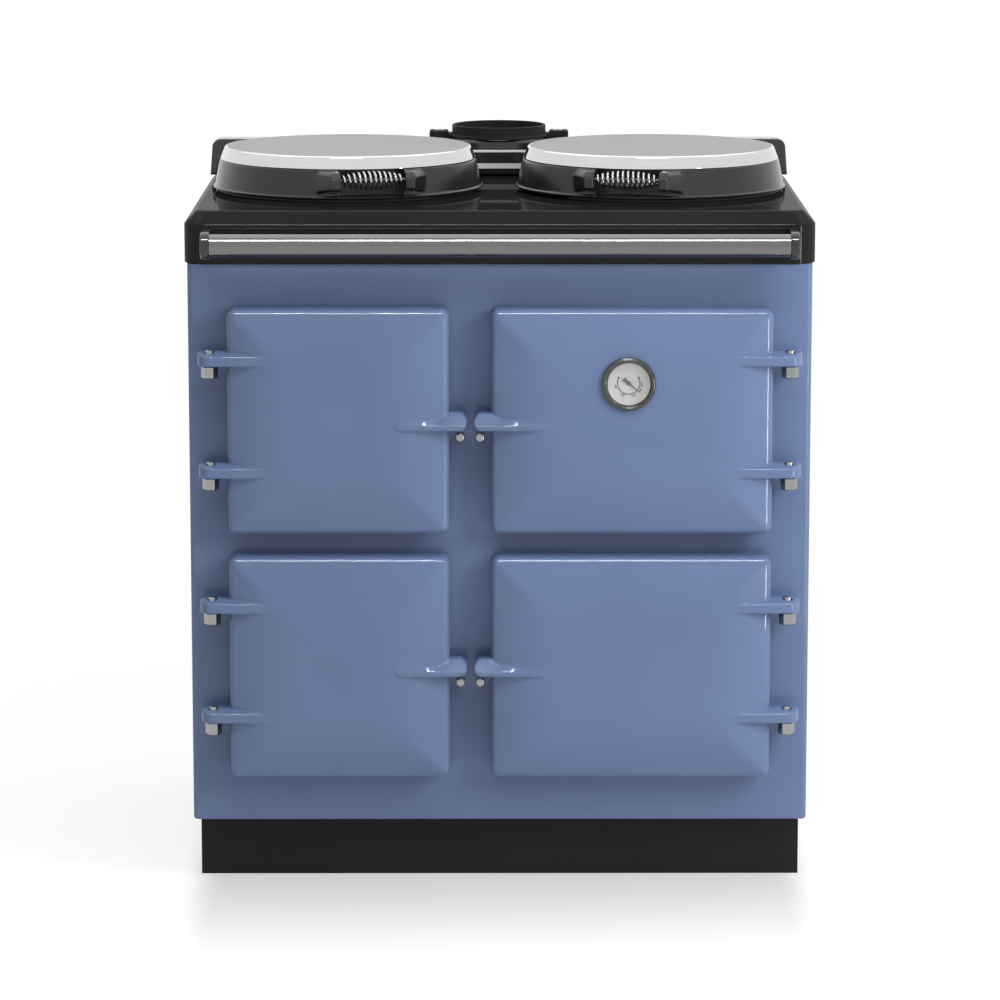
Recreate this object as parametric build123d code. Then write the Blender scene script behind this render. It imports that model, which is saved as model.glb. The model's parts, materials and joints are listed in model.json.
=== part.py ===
"""Range cooker: four cast doors on pin hinges, two sprung-handle lids, a towel rail and a flue."""
import math
import os

from build123d import *

# Frame: millimetres, +Z up, the front faces -Y, the origin is on the floor under the middle.

# Top plate
TOP_WIDTH = 827.0
TOP_DEPTH = 600.0
HOB_HEIGHT = 900.0
SKIRT_DEPTH = 69.0
SKIRT_WALL = 8.0
TOP_THICKNESS = 12.0
SHOULDER_RADIUS = 17.0
TOP_CORNER_RADIUS = 18.0

# Rear upstand and flue
UPSTAND_BACK_GAP = 35.0
UPSTAND_THICKNESS = 40.0
UPSTAND_HEIGHT = 47.0
UPSTAND_BASE_INSET = 2.5
UPSTAND_TAPER = 3.0
UPSTAND_CORNER_RADIUS = 12.0
FLUE_BOX_DEPTH = 134.0
FLUE_BOX_WIDTH = 136.0
FLUE_BOX_HEIGHT = 51.0
FLUE_BOX_WALL = 6.0
FLUE_BACK_GAP = 70.0
FLUE_BORE_RADIUS = 62.8
COLLAR_WALL = 3.6
COLLAR_RIM_HEIGHT = 68.0
COLLAR_FLANGE_RADIUS = 69.5
COLLAR_FLANGE_THICKNESS = 3.0
LUG_INNER = 60.0
LUG_OUTER = 98.5
LUG_WIDTH = 28.0
LUG_HEIGHT = 13.0
BOLT_RADIUS = 4.0
BOLT_HEAD_RADIUS = 7.0
BOLT_HEAD_HEIGHT = 5.0
BOLT_LENGTH = 30.0
BADGE_WIDTH = 104.0
BADGE_HEIGHT = 26.5
BADGE_LIFT = 10.5
BADGE_THICKNESS = 3.0
BADGE_BORDER = 4.5
BADGE_RECESS = 0.8

# Towel rail
RAIL_RADIUS = 15.0
RAIL_WALL = 2.0
RAIL_STANDOFF = 45.0
RAIL_DROP = 39.0
RAIL_END_INSET = 38.0
BRACKET_WIDTH = 12.0
BRACKET_NOSE_RADIUS = 18.0

# Lids and hotplates
LID_SPACING = 413.0
LID_LIFT = 5.0
LID_BASE_RADIUS = 184.0
LID_TOP_RADIUS = 174.5
LID_BODY_HEIGHT = 38.5
LID_INNER_RADIUS = 170.0
LID_INNER_TAPER = 4.0
LID_WEB = 5.0
CAP_INSET = 0.8
CAP_TOP_RADIUS = 168.0
CAP_HEIGHT = 17.0
CAP_WALL = 2.0
CAP_EDGE_RADIUS = 3.0
LID_LINER_RADIUS = 177.0
LID_LINER_THICKNESS = 1.5
LID_LINER_INSET = 1.0
LINER_CLEARANCE = 0.5
SEAT_GAP = 0.3
RING_RADIUS = 178.0
HOTPLATE_RADIUS = 168.5
HOTPLATE_CLEARANCE = 0.5
HOTPLATE_RECESS = 1.7
HOTPLATE_FLANGE = 5.0
HOTPLATE_BODY_RADIUS = 150.0
HOTPLATE_BODY_DEPTH = 24.0

# Sprung handle of a lid
HANDLE_TURN = 12.0
HANDLE_INSET = 4.0
HANDLE_HEIGHT = 30.0
SPRING_LENGTH = 87.0
SPRING_WIRE = 3.2
SPRING_END_RADIUS = 4.9
SPRING_MID_RADIUS = 11.1
SPRING_TURNS = 12
SPRING_LEAD = 4.5
SPRING_BARREL = 0.75
HANDLE_ROD_RADIUS = 2.5
ROD_SEAT_DEPTH = 6.0
POCKET_BACK = 143.0
POCKET_WALL = 4.0
POCKET_FLOOR = 1.5
CHEEK_BACK = 150.0
CHEEK_RISE = 3.0
CHEEK_NOSE = 11.0
CHEEK_FLAT = 11.0
CHEEK_RAMP = 36.0
CHEEK_TOP_GAP = 2.0
CHEEK_UNDERCUT = 9.0

# Lid hinge
LID_HINGE_UPSTAND_GAP = 30.0
LID_HINGE_GAP = 23.0
LID_HINGE_HEIGHT = 30.0
KNUCKLE_RADIUS = 11.0
TONGUE_WIDTH = 36.0
TONGUE_THICKNESS = 16.0
EAR_WIDTH = 10.0
EAR_GAP = 0.5
EAR_FOOT = 30.0
LID_PIN_RADIUS = 5.0
LID_PIN_OVERHANG = 3.0
RUNNING_CLEARANCE = 0.05

# Casing
TOP_OVERHANG = 4.5
FRONT_SETBACK = 3.0
FRONT_THICKNESS = 12.0
FRONT_EDGE_RADIUS = 7.0
FRONT_FOOT_RADIUS = 4.0
PLINTH_HEIGHT = 85.0
PLINTH_INSET = 7.5
PLINTH_SETBACK = 45.0
PLINTH_BACK_INSET = 20.0
PLINTH_BOARD = 12.0
SHEET = 3.0
BASE_THICKNESS = 5.0
BACK_INSET = 10.0

# Doors
DOOR_TOP_GAP = 55.0
DOOR_ROW_GAP = 31.5
DOOR_FOOT_GAP = 67.5
DOOR_MIDDLE_GAP = 55.0
LEFT_DOOR_SHARE = 145 / 329
DOOR_BACK_GAP = 4.0
DOOR_RIM = 35.0
DOOR_CROWN = 51.0
HIP_WIDTH = 90.0
DOOR_CORNER_RADIUS = 10.0
DOOR_EDGE_RADIUS = 8.0
DOOR_HOLLOW_DEPTH = 28.0
DOOR_OVERLAP = 22.0
APERTURE_CORNER_RADIUS = 12.0
PLUG_CLEARANCE = 8.0
PLUG_DEPTH = 25.0
PLUG_EDGE = 4.0
PAN_WALL = 3.0
PAN_FLANGE_GAP = 1.0
SEAL_INNER = 5.0
SEAL_OUTER = 14.0

# Door hinges and catches
HINGE_INSET = 30.5
HINGE_REACH = 34.0
HINGE_EDGE_GAP = 22.0
ARM_RADIUS = 15.5
ARM_HEIGHT = 18.0
ARM_UPPER = 83.5
ARM_LOWER = -64.0
ARM_RIB = 70.0
ARM_LEAN = 2.4
ARM_EDGE_RADIUS = 3.0
HINGE_PIN_RADIUS = 6.0
HINGE_PIN_TIP = 2.5
PIN_COLLAR_RADIUS = 11.0
PIN_COLLAR_HEIGHT = 16.5
SHANK_RADIUS = 6.0
CATCH_REACH = 23.0
CATCH_HEIGHT = 22.0
CATCH_RISE = 1.0
CATCH_RIB = 75.0
CATCH_LEAN = 3.5
CATCH_LUG_DROP = 2.6
CATCH_LUG_WIDTH = 20.0
CATCH_LUG_DEPTH = 16.0
STUD_HEAD_RADIUS = 6.8
STUD_HEAD_LENGTH = 8.0
STUD_RADIUS = 5.0
STUD_INSET = 8.5
STUD_DROP = 20.0

# Heat gauge
GAUGE_OFFSET_X = -5.0
GAUGE_OFFSET_Z = 53.0
GAUGE_RADIUS = 35.0
GAUGE_SIGHT_RADIUS = 27.75
GAUGE_CASE_RADIUS = 31.0
GAUGE_CASE_DEPTH = 14.0
GAUGE_CASE_WALL = 2.5
GAUGE_FLOOR = 5.0
GAUGE_FIT = 0.2
GLASS_RADIUS = 30.0
GLASS_THICKNESS = 2.0
BEZEL_DEPTH = 7.0
BEZEL_EDGE_RADIUS = 2.5
NEEDLE_LENGTH = 21.0
NEEDLE_TAIL = 9.0
NEEDLE_WIDTH = 3.0
NEEDLE_THICKNESS = 0.8
NEEDLE_LIFT = 2.0
NEEDLE_SPINDLE_RADIUS = 1.5
NEEDLE_ANGLE = -40.0

# Ovens and compartments
LINER_WALL = 2.0
LINER_FLANGE = 12.0
OVEN_DEPTH = 420.0
CONTROL_DEPTH = 110.0
BURNER_DEPTH = 285.0
RUNNER_WIDTH = 9.0
RUNNER_THICKNESS = 3.0
RUNNER_HEIGHT = 80.0
SHELF_BAR = 6.0
SHELF_ROD_RADIUS = 2.5
SHELF_RODS = 11
SHELF_CLEARANCE = 2.0
PANEL_INSET = 20.0
PANEL_THICKNESS = 3.0
KNOB_RADIUS = 22.0
KNOB_DEPTH = 20.0
KNOB_GAP = 0.5
KNOB_GRIP = 6.0
KNOB_SPINDLE_RADIUS = 4.0
SCROLL_RADIUS = 78.0
SCROLL_DEPTH = 80.0
MOTOR_RADIUS = 40.0
MOTOR_DEPTH = 60.0
BURNER_EDGE_RADIUS = 9.0
BURNER_TUBE_RADIUS = 42.0
BURNER_TUBE_WALL = 3.0
BURNER_TUBE_REACH = 60.0
CHAMBER_DOOR_INSET = 25.0
CHAMBER_BACK_GAP = 2.0
CHAMBER_HEIGHT = 350.0
CHAMBER_WALL = 5.0
DUCT_RADIUS = 48.0
DUCT_WALL = 2.0
DUCT_START_X = -150.0
DUCT_BEND_RADIUS = 80.0
DUCT_RISE = 165.0
DUCT_CLEARANCE = 0.5
BOARD_THICKNESS = 45.0
BOARD_FRONT_GAP = 5.0
BOARD_BACK_GAP = 30.0
BOARD_TOP_GAP = 11.0

# Planes that the pieces share
FRONT = (RAIL_STANDOFF + BRACKET_NOSE_RADIUS - TOP_DEPTH) / 2
BACK = FRONT + TOP_DEPTH
SKIRT_Z = HOB_HEIGHT - SKIRT_DEPTH
PLATE_FRONT = FRONT + FRONT_SETBACK
PLATE_BACK = PLATE_FRONT + FRONT_THICKNESS
CASE_BACK = BACK - BACK_INSET
BODY_WIDTH = TOP_WIDTH - 2 * TOP_OVERHANG
PLINTH_WIDTH = BODY_WIDTH - 2 * PLINTH_INSET
PANEL_X = BODY_WIDTH / 2 - SHEET
BASE_Z = PLINTH_HEIGHT + BASE_THICKNESS
DOOR_BACK = PLATE_FRONT - DOOR_BACK_GAP
HINGE_X = BODY_WIDTH / 2 - HINGE_INSET
HINGE_Y = PLATE_FRONT - HINGE_REACH
DOOR_HEIGHT = (SKIRT_Z - PLINTH_HEIGHT - DOOR_TOP_GAP - DOOR_ROW_GAP - DOOR_FOOT_GAP) / 2
LOWER_DOOR_Z = PLINTH_HEIGHT + DOOR_FOOT_GAP + DOOR_HEIGHT / 2
UPPER_DOOR_Z = SKIRT_Z - DOOR_TOP_GAP - DOOR_HEIGHT / 2
DOORS_WIDTH = 2 * (HINGE_X - HINGE_EDGE_GAP) - DOOR_MIDDLE_GAP
LEFT_DOOR_WIDTH = DOORS_WIDTH * LEFT_DOOR_SHARE
RIGHT_DOOR_WIDTH = DOORS_WIDTH - LEFT_DOOR_WIDTH
UPSTAND_Y = BACK - UPSTAND_BACK_GAP - UPSTAND_THICKNESS
LID_HINGE_Y = UPSTAND_Y - LID_HINGE_UPSTAND_GAP
LID_Y = LID_HINGE_Y - LID_HINGE_GAP - LID_BASE_RADIUS
LID_Z = HOB_HEIGHT + LID_LIFT
LID_TOP_Z = LID_Z + LID_BODY_HEIGHT
RING_Z = LID_Z - SEAT_GAP
LID_HINGE_Z = HOB_HEIGHT + LID_HINGE_HEIGHT
HANDLE_Z = HOB_HEIGHT + HANDLE_HEIGHT
HANDLE_REACH = LID_BASE_RADIUS - HANDLE_INSET
RAIL_LENGTH = TOP_WIDTH - 2 * RAIL_END_INSET
RAIL_Y = FRONT - RAIL_STANDOFF
RAIL_Z = HOB_HEIGHT - RAIL_DROP
FLUE_Y = BACK - FLUE_BACK_GAP
FLUE_BOX_Y = BACK - FLUE_BOX_DEPTH
FLUE_BOX_TOP = HOB_HEIGHT + FLUE_BOX_HEIGHT
UPSTAND_TOP = HOB_HEIGHT + UPSTAND_HEIGHT
HOTPLATE_Z = RING_Z - HOTPLATE_RECESS
CHAMBER_WIDTH = LEFT_DOOR_WIDTH - 2 * CHAMBER_DOOR_INSET
CHAMBER_FRONT = PLATE_BACK + BURNER_DEPTH + BURNER_TUBE_REACH / 2
CHAMBER_BACK = CASE_BACK - SHEET - CHAMBER_BACK_GAP


class Opening:
    """One door and the aperture that it closes, as edges across and up the front."""

    def __init__(self, side, row):
        self.side = side
        self.name = ("upper" if row > 0 else "lower") + ("_left" if side < 0 else "_right")
        self.width = LEFT_DOOR_WIDTH if side < 0 else RIGHT_DOOR_WIDTH
        self.x = side * (HINGE_X - HINGE_EDGE_GAP - self.width / 2)
        self.z = UPPER_DOOR_Z if row > 0 else LOWER_DOOR_Z
        self.hinge_x = side * HINGE_X
        self.free_x = self.x - side * self.width / 2
        self.span = self.width - 2 * DOOR_OVERLAP
        self.rise = DOOR_HEIGHT - 2 * DOOR_OVERLAP


OPENINGS = [Opening(side, row) for row in (1, -1) for side in (-1, 1)]
UPPER_LEFT, UPPER_RIGHT, LOWER_LEFT, LOWER_RIGHT = OPENINGS


def block(x0, x1, y0, y1, z0, z1):
    """A box between two corners."""
    return Pos((x0 + x1) / 2, (y0 + y1) / 2, (z0 + z1) / 2) * Box(x1 - x0, y1 - y0, z1 - z0)


def upright(radius, x, y, z0, z1):
    """A cylinder that stands along Z."""
    return Pos(x, y, (z0 + z1) / 2) * Cylinder(radius, z1 - z0)


def front_rod(radius, x, z, y0, y1):
    """A cylinder that lies along Y."""
    return Pos(x, (y0 + y1) / 2, z) * Rot(90, 0, 0) * Cylinder(radius, y1 - y0)


def side_rod(radius, y, z, x0, x1):
    """A cylinder that lies along X."""
    return Pos((x0 + x1) / 2, y, z) * Rot(0, 90, 0) * Cylinder(radius, x1 - x0)


def front_panel(x, z, width, height, radius, y0, y1):
    """A plate that faces -Y, with rounded corners."""
    outline = Plane.XZ * RectangleRounded(width, height, radius)
    return Pos(x, y1, z) * extrude(outline, y1 - y0)


def front_hexagon(radius, x, z, y0, y1):
    """A hexagonal bar along Y, with one corner down."""
    outline = Plane.XZ * RegularPolygon(radius, 6, rotation=90)
    return Pos(x, y1, z) * extrude(outline, y1 - y0)


def side_plate(points, x0, x1):
    """A plate in the YZ plane, from its outline."""
    return extrude(Plane.YZ.offset(x0) * make_face(Polyline(*points, close=True)), x1 - x0)


def lid_x(side):
    return side * LID_SPACING / 2


# Casing


def make_plinth():
    """Four boards: the front and back ones run the full width."""
    y0, y1 = FRONT + PLINTH_SETBACK, BACK - PLINTH_BACK_INSET
    half = PLINTH_WIDTH / 2
    boards = [block(-half, half, y0, y0 + PLINTH_BOARD, 0, PLINTH_HEIGHT),
              block(-half, half, y1 - PLINTH_BOARD, y1, 0, PLINTH_HEIGHT)]
    for x in (-half, half - PLINTH_BOARD):
        boards.append(block(x, x + PLINTH_BOARD, y0 + PLINTH_BOARD, y1 - PLINTH_BOARD, 0, PLINTH_HEIGHT))
    return boards


def make_base_plate():
    return block(-PANEL_X, PANEL_X, PLATE_BACK, CASE_BACK - SHEET, PLINTH_HEIGHT, BASE_Z)


def make_side_panel(side):
    inner, outer = sorted((side * PANEL_X, side * BODY_WIDTH / 2))
    return block(inner, outer, PLATE_BACK, CASE_BACK, PLINTH_HEIGHT, SKIRT_Z)


def make_back_panel():
    return block(-PANEL_X, PANEL_X, CASE_BACK - SHEET, CASE_BACK, PLINTH_HEIGHT, SKIRT_Z)


def make_front_plate():
    half = BODY_WIDTH / 2
    plate = block(-half, half, PLATE_FRONT, PLATE_BACK, PLINTH_HEIGHT, SKIRT_Z)
    face = plate.faces().sort_by(Axis.Y)[0]
    plate = fillet(face.edges().filter_by(Axis.Z), FRONT_EDGE_RADIUS)
    foot = plate.edges().group_by(Axis.Z)[0].sort_by(Axis.Y)[0]
    plate = fillet(foot, FRONT_FOOT_RADIUS)
    for door in OPENINGS:
        plate -= front_panel(door.x, door.z, door.span, door.rise, APERTURE_CORNER_RADIUS,
                             PLATE_FRONT, PLATE_BACK)
        plate -= front_rod(STUD_RADIUS, stud_x(door), door.z - STUD_DROP, PLATE_FRONT, PLATE_BACK)
        for lift in (ARM_UPPER, ARM_LOWER):
            plate -= front_rod(SHANK_RADIUS, door.hinge_x, shank_z(door, lift), PLATE_FRONT, PLATE_BACK)
    return plate


# Top plate, upstand and flue


def top_blank():
    """The outside of the top plate, with its rolled front and side shoulders."""
    half = TOP_WIDTH / 2
    blank = block(-half, half, FRONT, BACK, SKIRT_Z, HOB_HEIGHT)
    corners = blank.edges().filter_by(Axis.Z).sort_by(Axis.Y)[:2]
    blank = fillet(corners, TOP_CORNER_RADIUS)
    rim = blank.faces().sort_by(Axis.Z)[-1].edges().sort_by(Axis.Y)[:-1]
    return fillet(rim, SHOULDER_RADIUS)


def make_top_plate():
    half = TOP_WIDTH / 2 - SKIRT_WALL
    under = HOB_HEIGHT - TOP_THICKNESS
    plate = top_blank() - block(-half, half, FRONT + SKIRT_WALL, BACK - SKIRT_WALL, SKIRT_Z, under)
    seat = HOTPLATE_Z - HOTPLATE_FLANGE
    for side in (-1, 1):
        plate += upright(RING_RADIUS, lid_x(side), LID_Y, under, RING_Z)
        plate -= upright(HOTPLATE_RADIUS + HOTPLATE_CLEARANCE, lid_x(side), LID_Y, seat, RING_Z)
        plate -= upright(HOTPLATE_BODY_RADIUS + HOTPLATE_CLEARANCE, lid_x(side), LID_Y, under, seat)
    return plate - upright(DUCT_RADIUS + DUCT_CLEARANCE, 0, FLUE_Y, under, HOB_HEIGHT)


def make_hotplate(side):
    flange_z = HOTPLATE_Z - HOTPLATE_FLANGE
    plate = upright(HOTPLATE_RADIUS, lid_x(side), LID_Y, flange_z, HOTPLATE_Z)
    return plate + upright(HOTPLATE_BODY_RADIUS, lid_x(side), LID_Y, flange_z - HOTPLATE_BODY_DEPTH, flange_z)


def make_rear_upstand():
    base = TOP_WIDTH / 2 - UPSTAND_BASE_INSET
    crest = base - UPSTAND_TAPER
    outline = make_face(Polyline((-base, HOB_HEIGHT - SHOULDER_RADIUS), (base, HOB_HEIGHT - SHOULDER_RADIUS),
                                 (crest, UPSTAND_TOP), (-crest, UPSTAND_TOP), close=True))
    outline = fillet(outline.vertices().group_by(Axis.Y)[-1], UPSTAND_CORNER_RADIUS)
    upstand = Pos(0, UPSTAND_Y + UPSTAND_THICKNESS, 0) * extrude(Plane.XZ * outline, UPSTAND_THICKNESS)
    upstand -= top_blank()
    gap = FLUE_BOX_WIDTH / 2
    upstand -= block(-gap, gap, FRONT, BACK, HOB_HEIGHT, UPSTAND_TOP)
    for x in lug_bolts():
        upstand -= upright(BOLT_RADIUS, x, FLUE_Y, bolt_foot(), UPSTAND_TOP)
    return upstand


def make_flue_box():
    half = FLUE_BOX_WIDTH / 2
    box = block(-half, half, FLUE_BOX_Y, BACK, HOB_HEIGHT, FLUE_BOX_TOP)
    box = fillet(box.edges().filter_by(Axis.Z).sort_by(Axis.Y)[:2], FLUE_BOX_WALL)
    wall = FLUE_BOX_WALL
    box -= block(wall - half, half - wall, FLUE_BOX_Y + wall, BACK - wall, HOB_HEIGHT, FLUE_BOX_TOP - wall)
    return box - upright(FLUE_BORE_RADIUS - COLLAR_WALL, 0, FLUE_Y, HOB_HEIGHT, FLUE_BOX_TOP)


def lug_bolts():
    middle = (COLLAR_FLANGE_RADIUS + LUG_OUTER) / 2
    return (-middle, middle)


def lug_top():
    return UPSTAND_TOP + LUG_HEIGHT


def bolt_foot():
    return lug_top() - BOLT_LENGTH


def make_flue_collar():
    outer = FLUE_BORE_RADIUS + COLLAR_WALL
    flange_z = FLUE_BOX_TOP + COLLAR_FLANGE_THICKNESS
    collar = upright(COLLAR_FLANGE_RADIUS, 0, FLUE_Y, FLUE_BOX_TOP, flange_z)
    collar += upright(outer, 0, FLUE_Y, FLUE_BOX_TOP, HOB_HEIGHT + COLLAR_RIM_HEIGHT)
    y0, y1 = FLUE_Y - LUG_WIDTH / 2, FLUE_Y + LUG_WIDTH / 2
    foot = COLLAR_FLANGE_RADIUS
    for side in (-1, 1):
        arm_x = sorted((side * LUG_INNER, side * LUG_OUTER))
        foot_x = sorted((side * foot, side * LUG_OUTER))
        lug = block(*arm_x, y0, y1, FLUE_BOX_TOP, lug_top()) + block(*foot_x, y0, y1, UPSTAND_TOP, lug_top())
        ends = lug.edges().filter_by(Axis.Z)
        ends = ends.sort_by(Axis.X)[-2:] if side > 0 else ends.sort_by(Axis.X)[:2]
        collar += fillet(ends, LUG_WIDTH / 5)
    for x in lug_bolts():
        collar -= upright(BOLT_RADIUS, x, FLUE_Y, UPSTAND_TOP, lug_top())
        collar -= upright(BOLT_HEAD_RADIUS, x, FLUE_Y, lug_top() - BOLT_HEAD_HEIGHT, lug_top())
    return collar - upright(FLUE_BORE_RADIUS, 0, FLUE_Y, FLUE_BOX_TOP, HOB_HEIGHT + COLLAR_RIM_HEIGHT)


def make_flue_collar_bolts():
    bolts = []
    for x in lug_bolts():
        head_z = lug_top() - BOLT_HEAD_HEIGHT
        bolt = upright(BOLT_RADIUS, x, FLUE_Y, bolt_foot(), head_z)
        bolt += upright(BOLT_HEAD_RADIUS, x, FLUE_Y, head_z, lug_top())
        socket = Pos(x, FLUE_Y, head_z + BOLT_HEAD_HEIGHT / 2) * RegularPolygon(BOLT_RADIUS, 6)
        bolts.append(bolt - extrude(socket, BOLT_HEAD_HEIGHT / 2))
    return bolts


def make_badge_plate():
    y0 = FLUE_BOX_Y - BADGE_THICKNESS
    z = HOB_HEIGHT + BADGE_LIFT + BADGE_HEIGHT / 2
    plate = front_panel(0, z, BADGE_WIDTH, BADGE_HEIGHT, BADGE_BORDER / 2, y0, FLUE_BOX_Y)
    inlay = front_panel(0, z, BADGE_WIDTH - 2 * BADGE_BORDER, BADGE_HEIGHT - 2 * BADGE_BORDER,
                        BADGE_BORDER / 2, y0, y0 + BADGE_RECESS)
    return plate - inlay


# Towel rail


def make_towel_rail():
    half = RAIL_LENGTH / 2
    return side_rod(RAIL_RADIUS, RAIL_Y, RAIL_Z, -half, half) - side_rod(
        RAIL_RADIUS - RAIL_WALL, RAIL_Y, RAIL_Z, -half, half)


def make_rail_brackets():
    brackets = []
    for side in (-1, 1):
        x0, x1 = sorted((side * RAIL_LENGTH / 2, side * (RAIL_LENGTH / 2 + BRACKET_WIDTH)))
        bracket = block(x0, x1, RAIL_Y, FRONT, RAIL_Z - BRACKET_NOSE_RADIUS, RAIL_Z + BRACKET_NOSE_RADIUS)
        brackets.append(bracket + side_rod(BRACKET_NOSE_RADIUS, RAIL_Y, RAIL_Z, x0, x1))
    return brackets


# Lids


def cheek(side):
    """One end block of the handle, proud of the lid, with a ramp and a raked underside."""
    inner = SPRING_LENGTH / 2
    outer = inner + CHEEK_FLAT
    foot = outer + CHEEK_RAMP
    nose = -(HANDLE_REACH + CHEEK_NOSE)
    plan = make_face(Polyline((inner, -CHEEK_BACK), (inner, nose), (outer, nose),
                              (foot, -HANDLE_REACH + CHEEK_NOSE), (foot, -CHEEK_BACK), close=True))
    low, high = LID_Z + CHEEK_RISE, LID_TOP_Z - CHEEK_TOP_GAP
    solid = Pos(0, 0, low) * extrude(plan, high - low)
    profile = make_face(Polyline((inner, high), (inner, low + CHEEK_UNDERCUT), (outer, low + CHEEK_UNDERCUT),
                                 (foot, low), (foot, high), close=True))
    solid &= extrude(Plane.XZ * profile, -nose)
    return solid if side > 0 else mirror(solid, Plane.YZ)


def pocket_room(margin):
    """The part of a lid's front that holds the hand pocket and its walls."""
    half = SPRING_LENGTH / 2 + POCKET_WALL + margin
    return block(-half, half, -LID_BASE_RADIUS, POCKET_WALL + margin - POCKET_BACK, LID_Z, LID_TOP_Z)


def make_lid(side):
    outline = Polyline((0, LID_Z), (LID_BASE_RADIUS, LID_Z), (LID_TOP_RADIUS, LID_TOP_Z), (0, LID_TOP_Z),
                       close=True)
    lip = LID_Z + LID_LINER_INSET + LID_LINER_THICKNESS
    web = LID_TOP_Z - LID_WEB
    hollow = Polyline((0, LID_Z), (LID_LINER_RADIUS, LID_Z), (LID_LINER_RADIUS, lip), (LID_INNER_RADIUS, lip),
                      (LID_INNER_RADIUS - LID_INNER_TAPER, web), (0, web), close=True)
    lid = revolve(Plane.XZ * make_face(outline), Axis.Z)
    lid -= revolve(Plane.XZ * make_face(hollow), Axis.Z) - pocket_room(0)
    half = SPRING_LENGTH / 2
    lid -= block(-half, half, -LID_BASE_RADIUS, -POCKET_BACK, LID_Z + POCKET_FLOOR, LID_TOP_Z)
    for end in (-1, 1):
        lid += cheek(end)
    seat = half + ROD_SEAT_DEPTH
    lid -= side_rod(HANDLE_ROD_RADIUS, -HANDLE_REACH, HANDLE_Z, -seat, seat)
    lid = Rot(0, 0, -side * HANDLE_TURN) * lid
    hinge_y = LID_HINGE_Y - LID_Y
    half = TONGUE_WIDTH / 2
    low, high = LID_HINGE_Z - TONGUE_THICKNESS / 2, LID_HINGE_Z + TONGUE_THICKNESS / 2
    lid += block(-half, half, LID_INNER_RADIUS - LID_INNER_TAPER, hinge_y, low, high)
    lid += side_rod(KNUCKLE_RADIUS, hinge_y, LID_HINGE_Z, -half, half)
    lid -= side_rod(LID_PIN_RADIUS + RUNNING_CLEARANCE, hinge_y, LID_HINGE_Z, -half, half)
    return Pos(lid_x(side), LID_Y, 0) * lid


def make_lid_cap(side):
    base = LID_TOP_RADIUS - CAP_INSET
    top = LID_TOP_Z + CAP_HEIGHT
    outline = Polyline((0, LID_TOP_Z), (base, LID_TOP_Z), (CAP_TOP_RADIUS, top), (0, top), close=True)
    cap = revolve(Plane.XZ * make_face(outline), Axis.Z)
    edge = cap.edges().filter_by(GeomType.CIRCLE).sort_by(Axis.Z)[-1]
    cap = fillet(edge, CAP_EDGE_RADIUS)
    roof = top - CAP_WALL
    hollow = Polyline((0, LID_TOP_Z), (base - CAP_WALL, LID_TOP_Z), (CAP_TOP_RADIUS - CAP_EDGE_RADIUS, roof),
                      (0, roof), close=True)
    return Pos(lid_x(side), LID_Y, 0) * (cap - revolve(Plane.XZ * make_face(hollow), Axis.Z))


def make_lid_liner(side):
    """The steel disc under a lid, cut away round the hand pocket."""
    z0 = LID_Z + LID_LINER_INSET
    disc = upright(LID_LINER_RADIUS - LINER_CLEARANCE, 0, 0, z0, z0 + LID_LINER_THICKNESS)
    disc -= pocket_room(LINER_CLEARANCE)
    return Pos(lid_x(side), LID_Y, 0) * Rot(0, 0, -side * HANDLE_TURN) * disc


def handle_place(side):
    """Moves a handle piece, made along X at the origin, to its place on the lid."""
    return Pos(lid_x(side), LID_Y, HANDLE_Z) * Rot(0, 0, -side * HANDLE_TURN) * Pos(0, -HANDLE_REACH, 0)


def make_handle_rod(side):
    half = SPRING_LENGTH / 2 + ROD_SEAT_DEPTH
    return handle_place(side) * side_rod(HANDLE_ROD_RADIUS, 0, 0, -half, half)


def spring_point(turn):
    """A point of the barrel coil's centre line, at a number of turns from its left end."""
    share = turn / SPRING_TURNS
    body = SPRING_LENGTH - 2 * (SPRING_WIRE + SPRING_LEAD)
    bulge = math.sin(math.pi * share) ** SPRING_BARREL if 0 < share < 1 else 0
    radius = SPRING_END_RADIUS + (SPRING_MID_RADIUS - SPRING_END_RADIUS) * bulge
    angle = 2 * math.pi * turn
    return Vector(body * (share - 0.5), radius * math.cos(angle), radius * math.sin(angle))


def spring_tangent(turn):
    step = 0.02
    before, after = max(turn - step, 0), min(turn + step, SPRING_TURNS)
    return (spring_point(after) - spring_point(before)).normalized()


def biarc(start, start_way, end, end_way):
    """Two arcs that join two points and keep the given directions there."""
    chord, ways = end - start, start_way + end_way
    bend = 2 * (1 - start_way.dot(end_way))
    along = chord.dot(ways)
    reach = (math.sqrt(along * along + bend * chord.dot(chord)) - along) / bend
    first, last = start + start_way * reach, end - end_way * reach
    middle = (first + last) / 2
    return [TangentArc(start, middle, tangent=start_way),
            TangentArc(middle, end, tangent=(last - first).normalized())]


def spring_path():
    """The wire's centre line: straight ends along X, and quarter-turn biarcs between them."""
    axis = Vector(1, 0, 0)
    half = SPRING_LENGTH / 2
    left = Vector(-half, 0, 0) + Vector(0, SPRING_END_RADIUS, 0)
    right = Vector(half, 0, 0) + Vector(0, SPRING_END_RADIUS, 0)
    stops = [(left + axis * SPRING_WIRE, axis)]
    # The wire leaves each end along the axis, a part of a turn before the first full coil.
    quarters = SPRING_TURNS * 4
    stops += [(spring_point(q / 4), spring_tangent(q / 4)) for q in range(1, quarters)]
    stops += [(right - axis * SPRING_WIRE, axis)]
    edges = [Line(left, stops[0][0])]
    for (start, start_way), (end, end_way) in zip(stops, stops[1:]):
        edges += biarc(start, start_way, end, end_way)
    edges.append(Line(stops[-1][0], right))
    return edges


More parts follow.
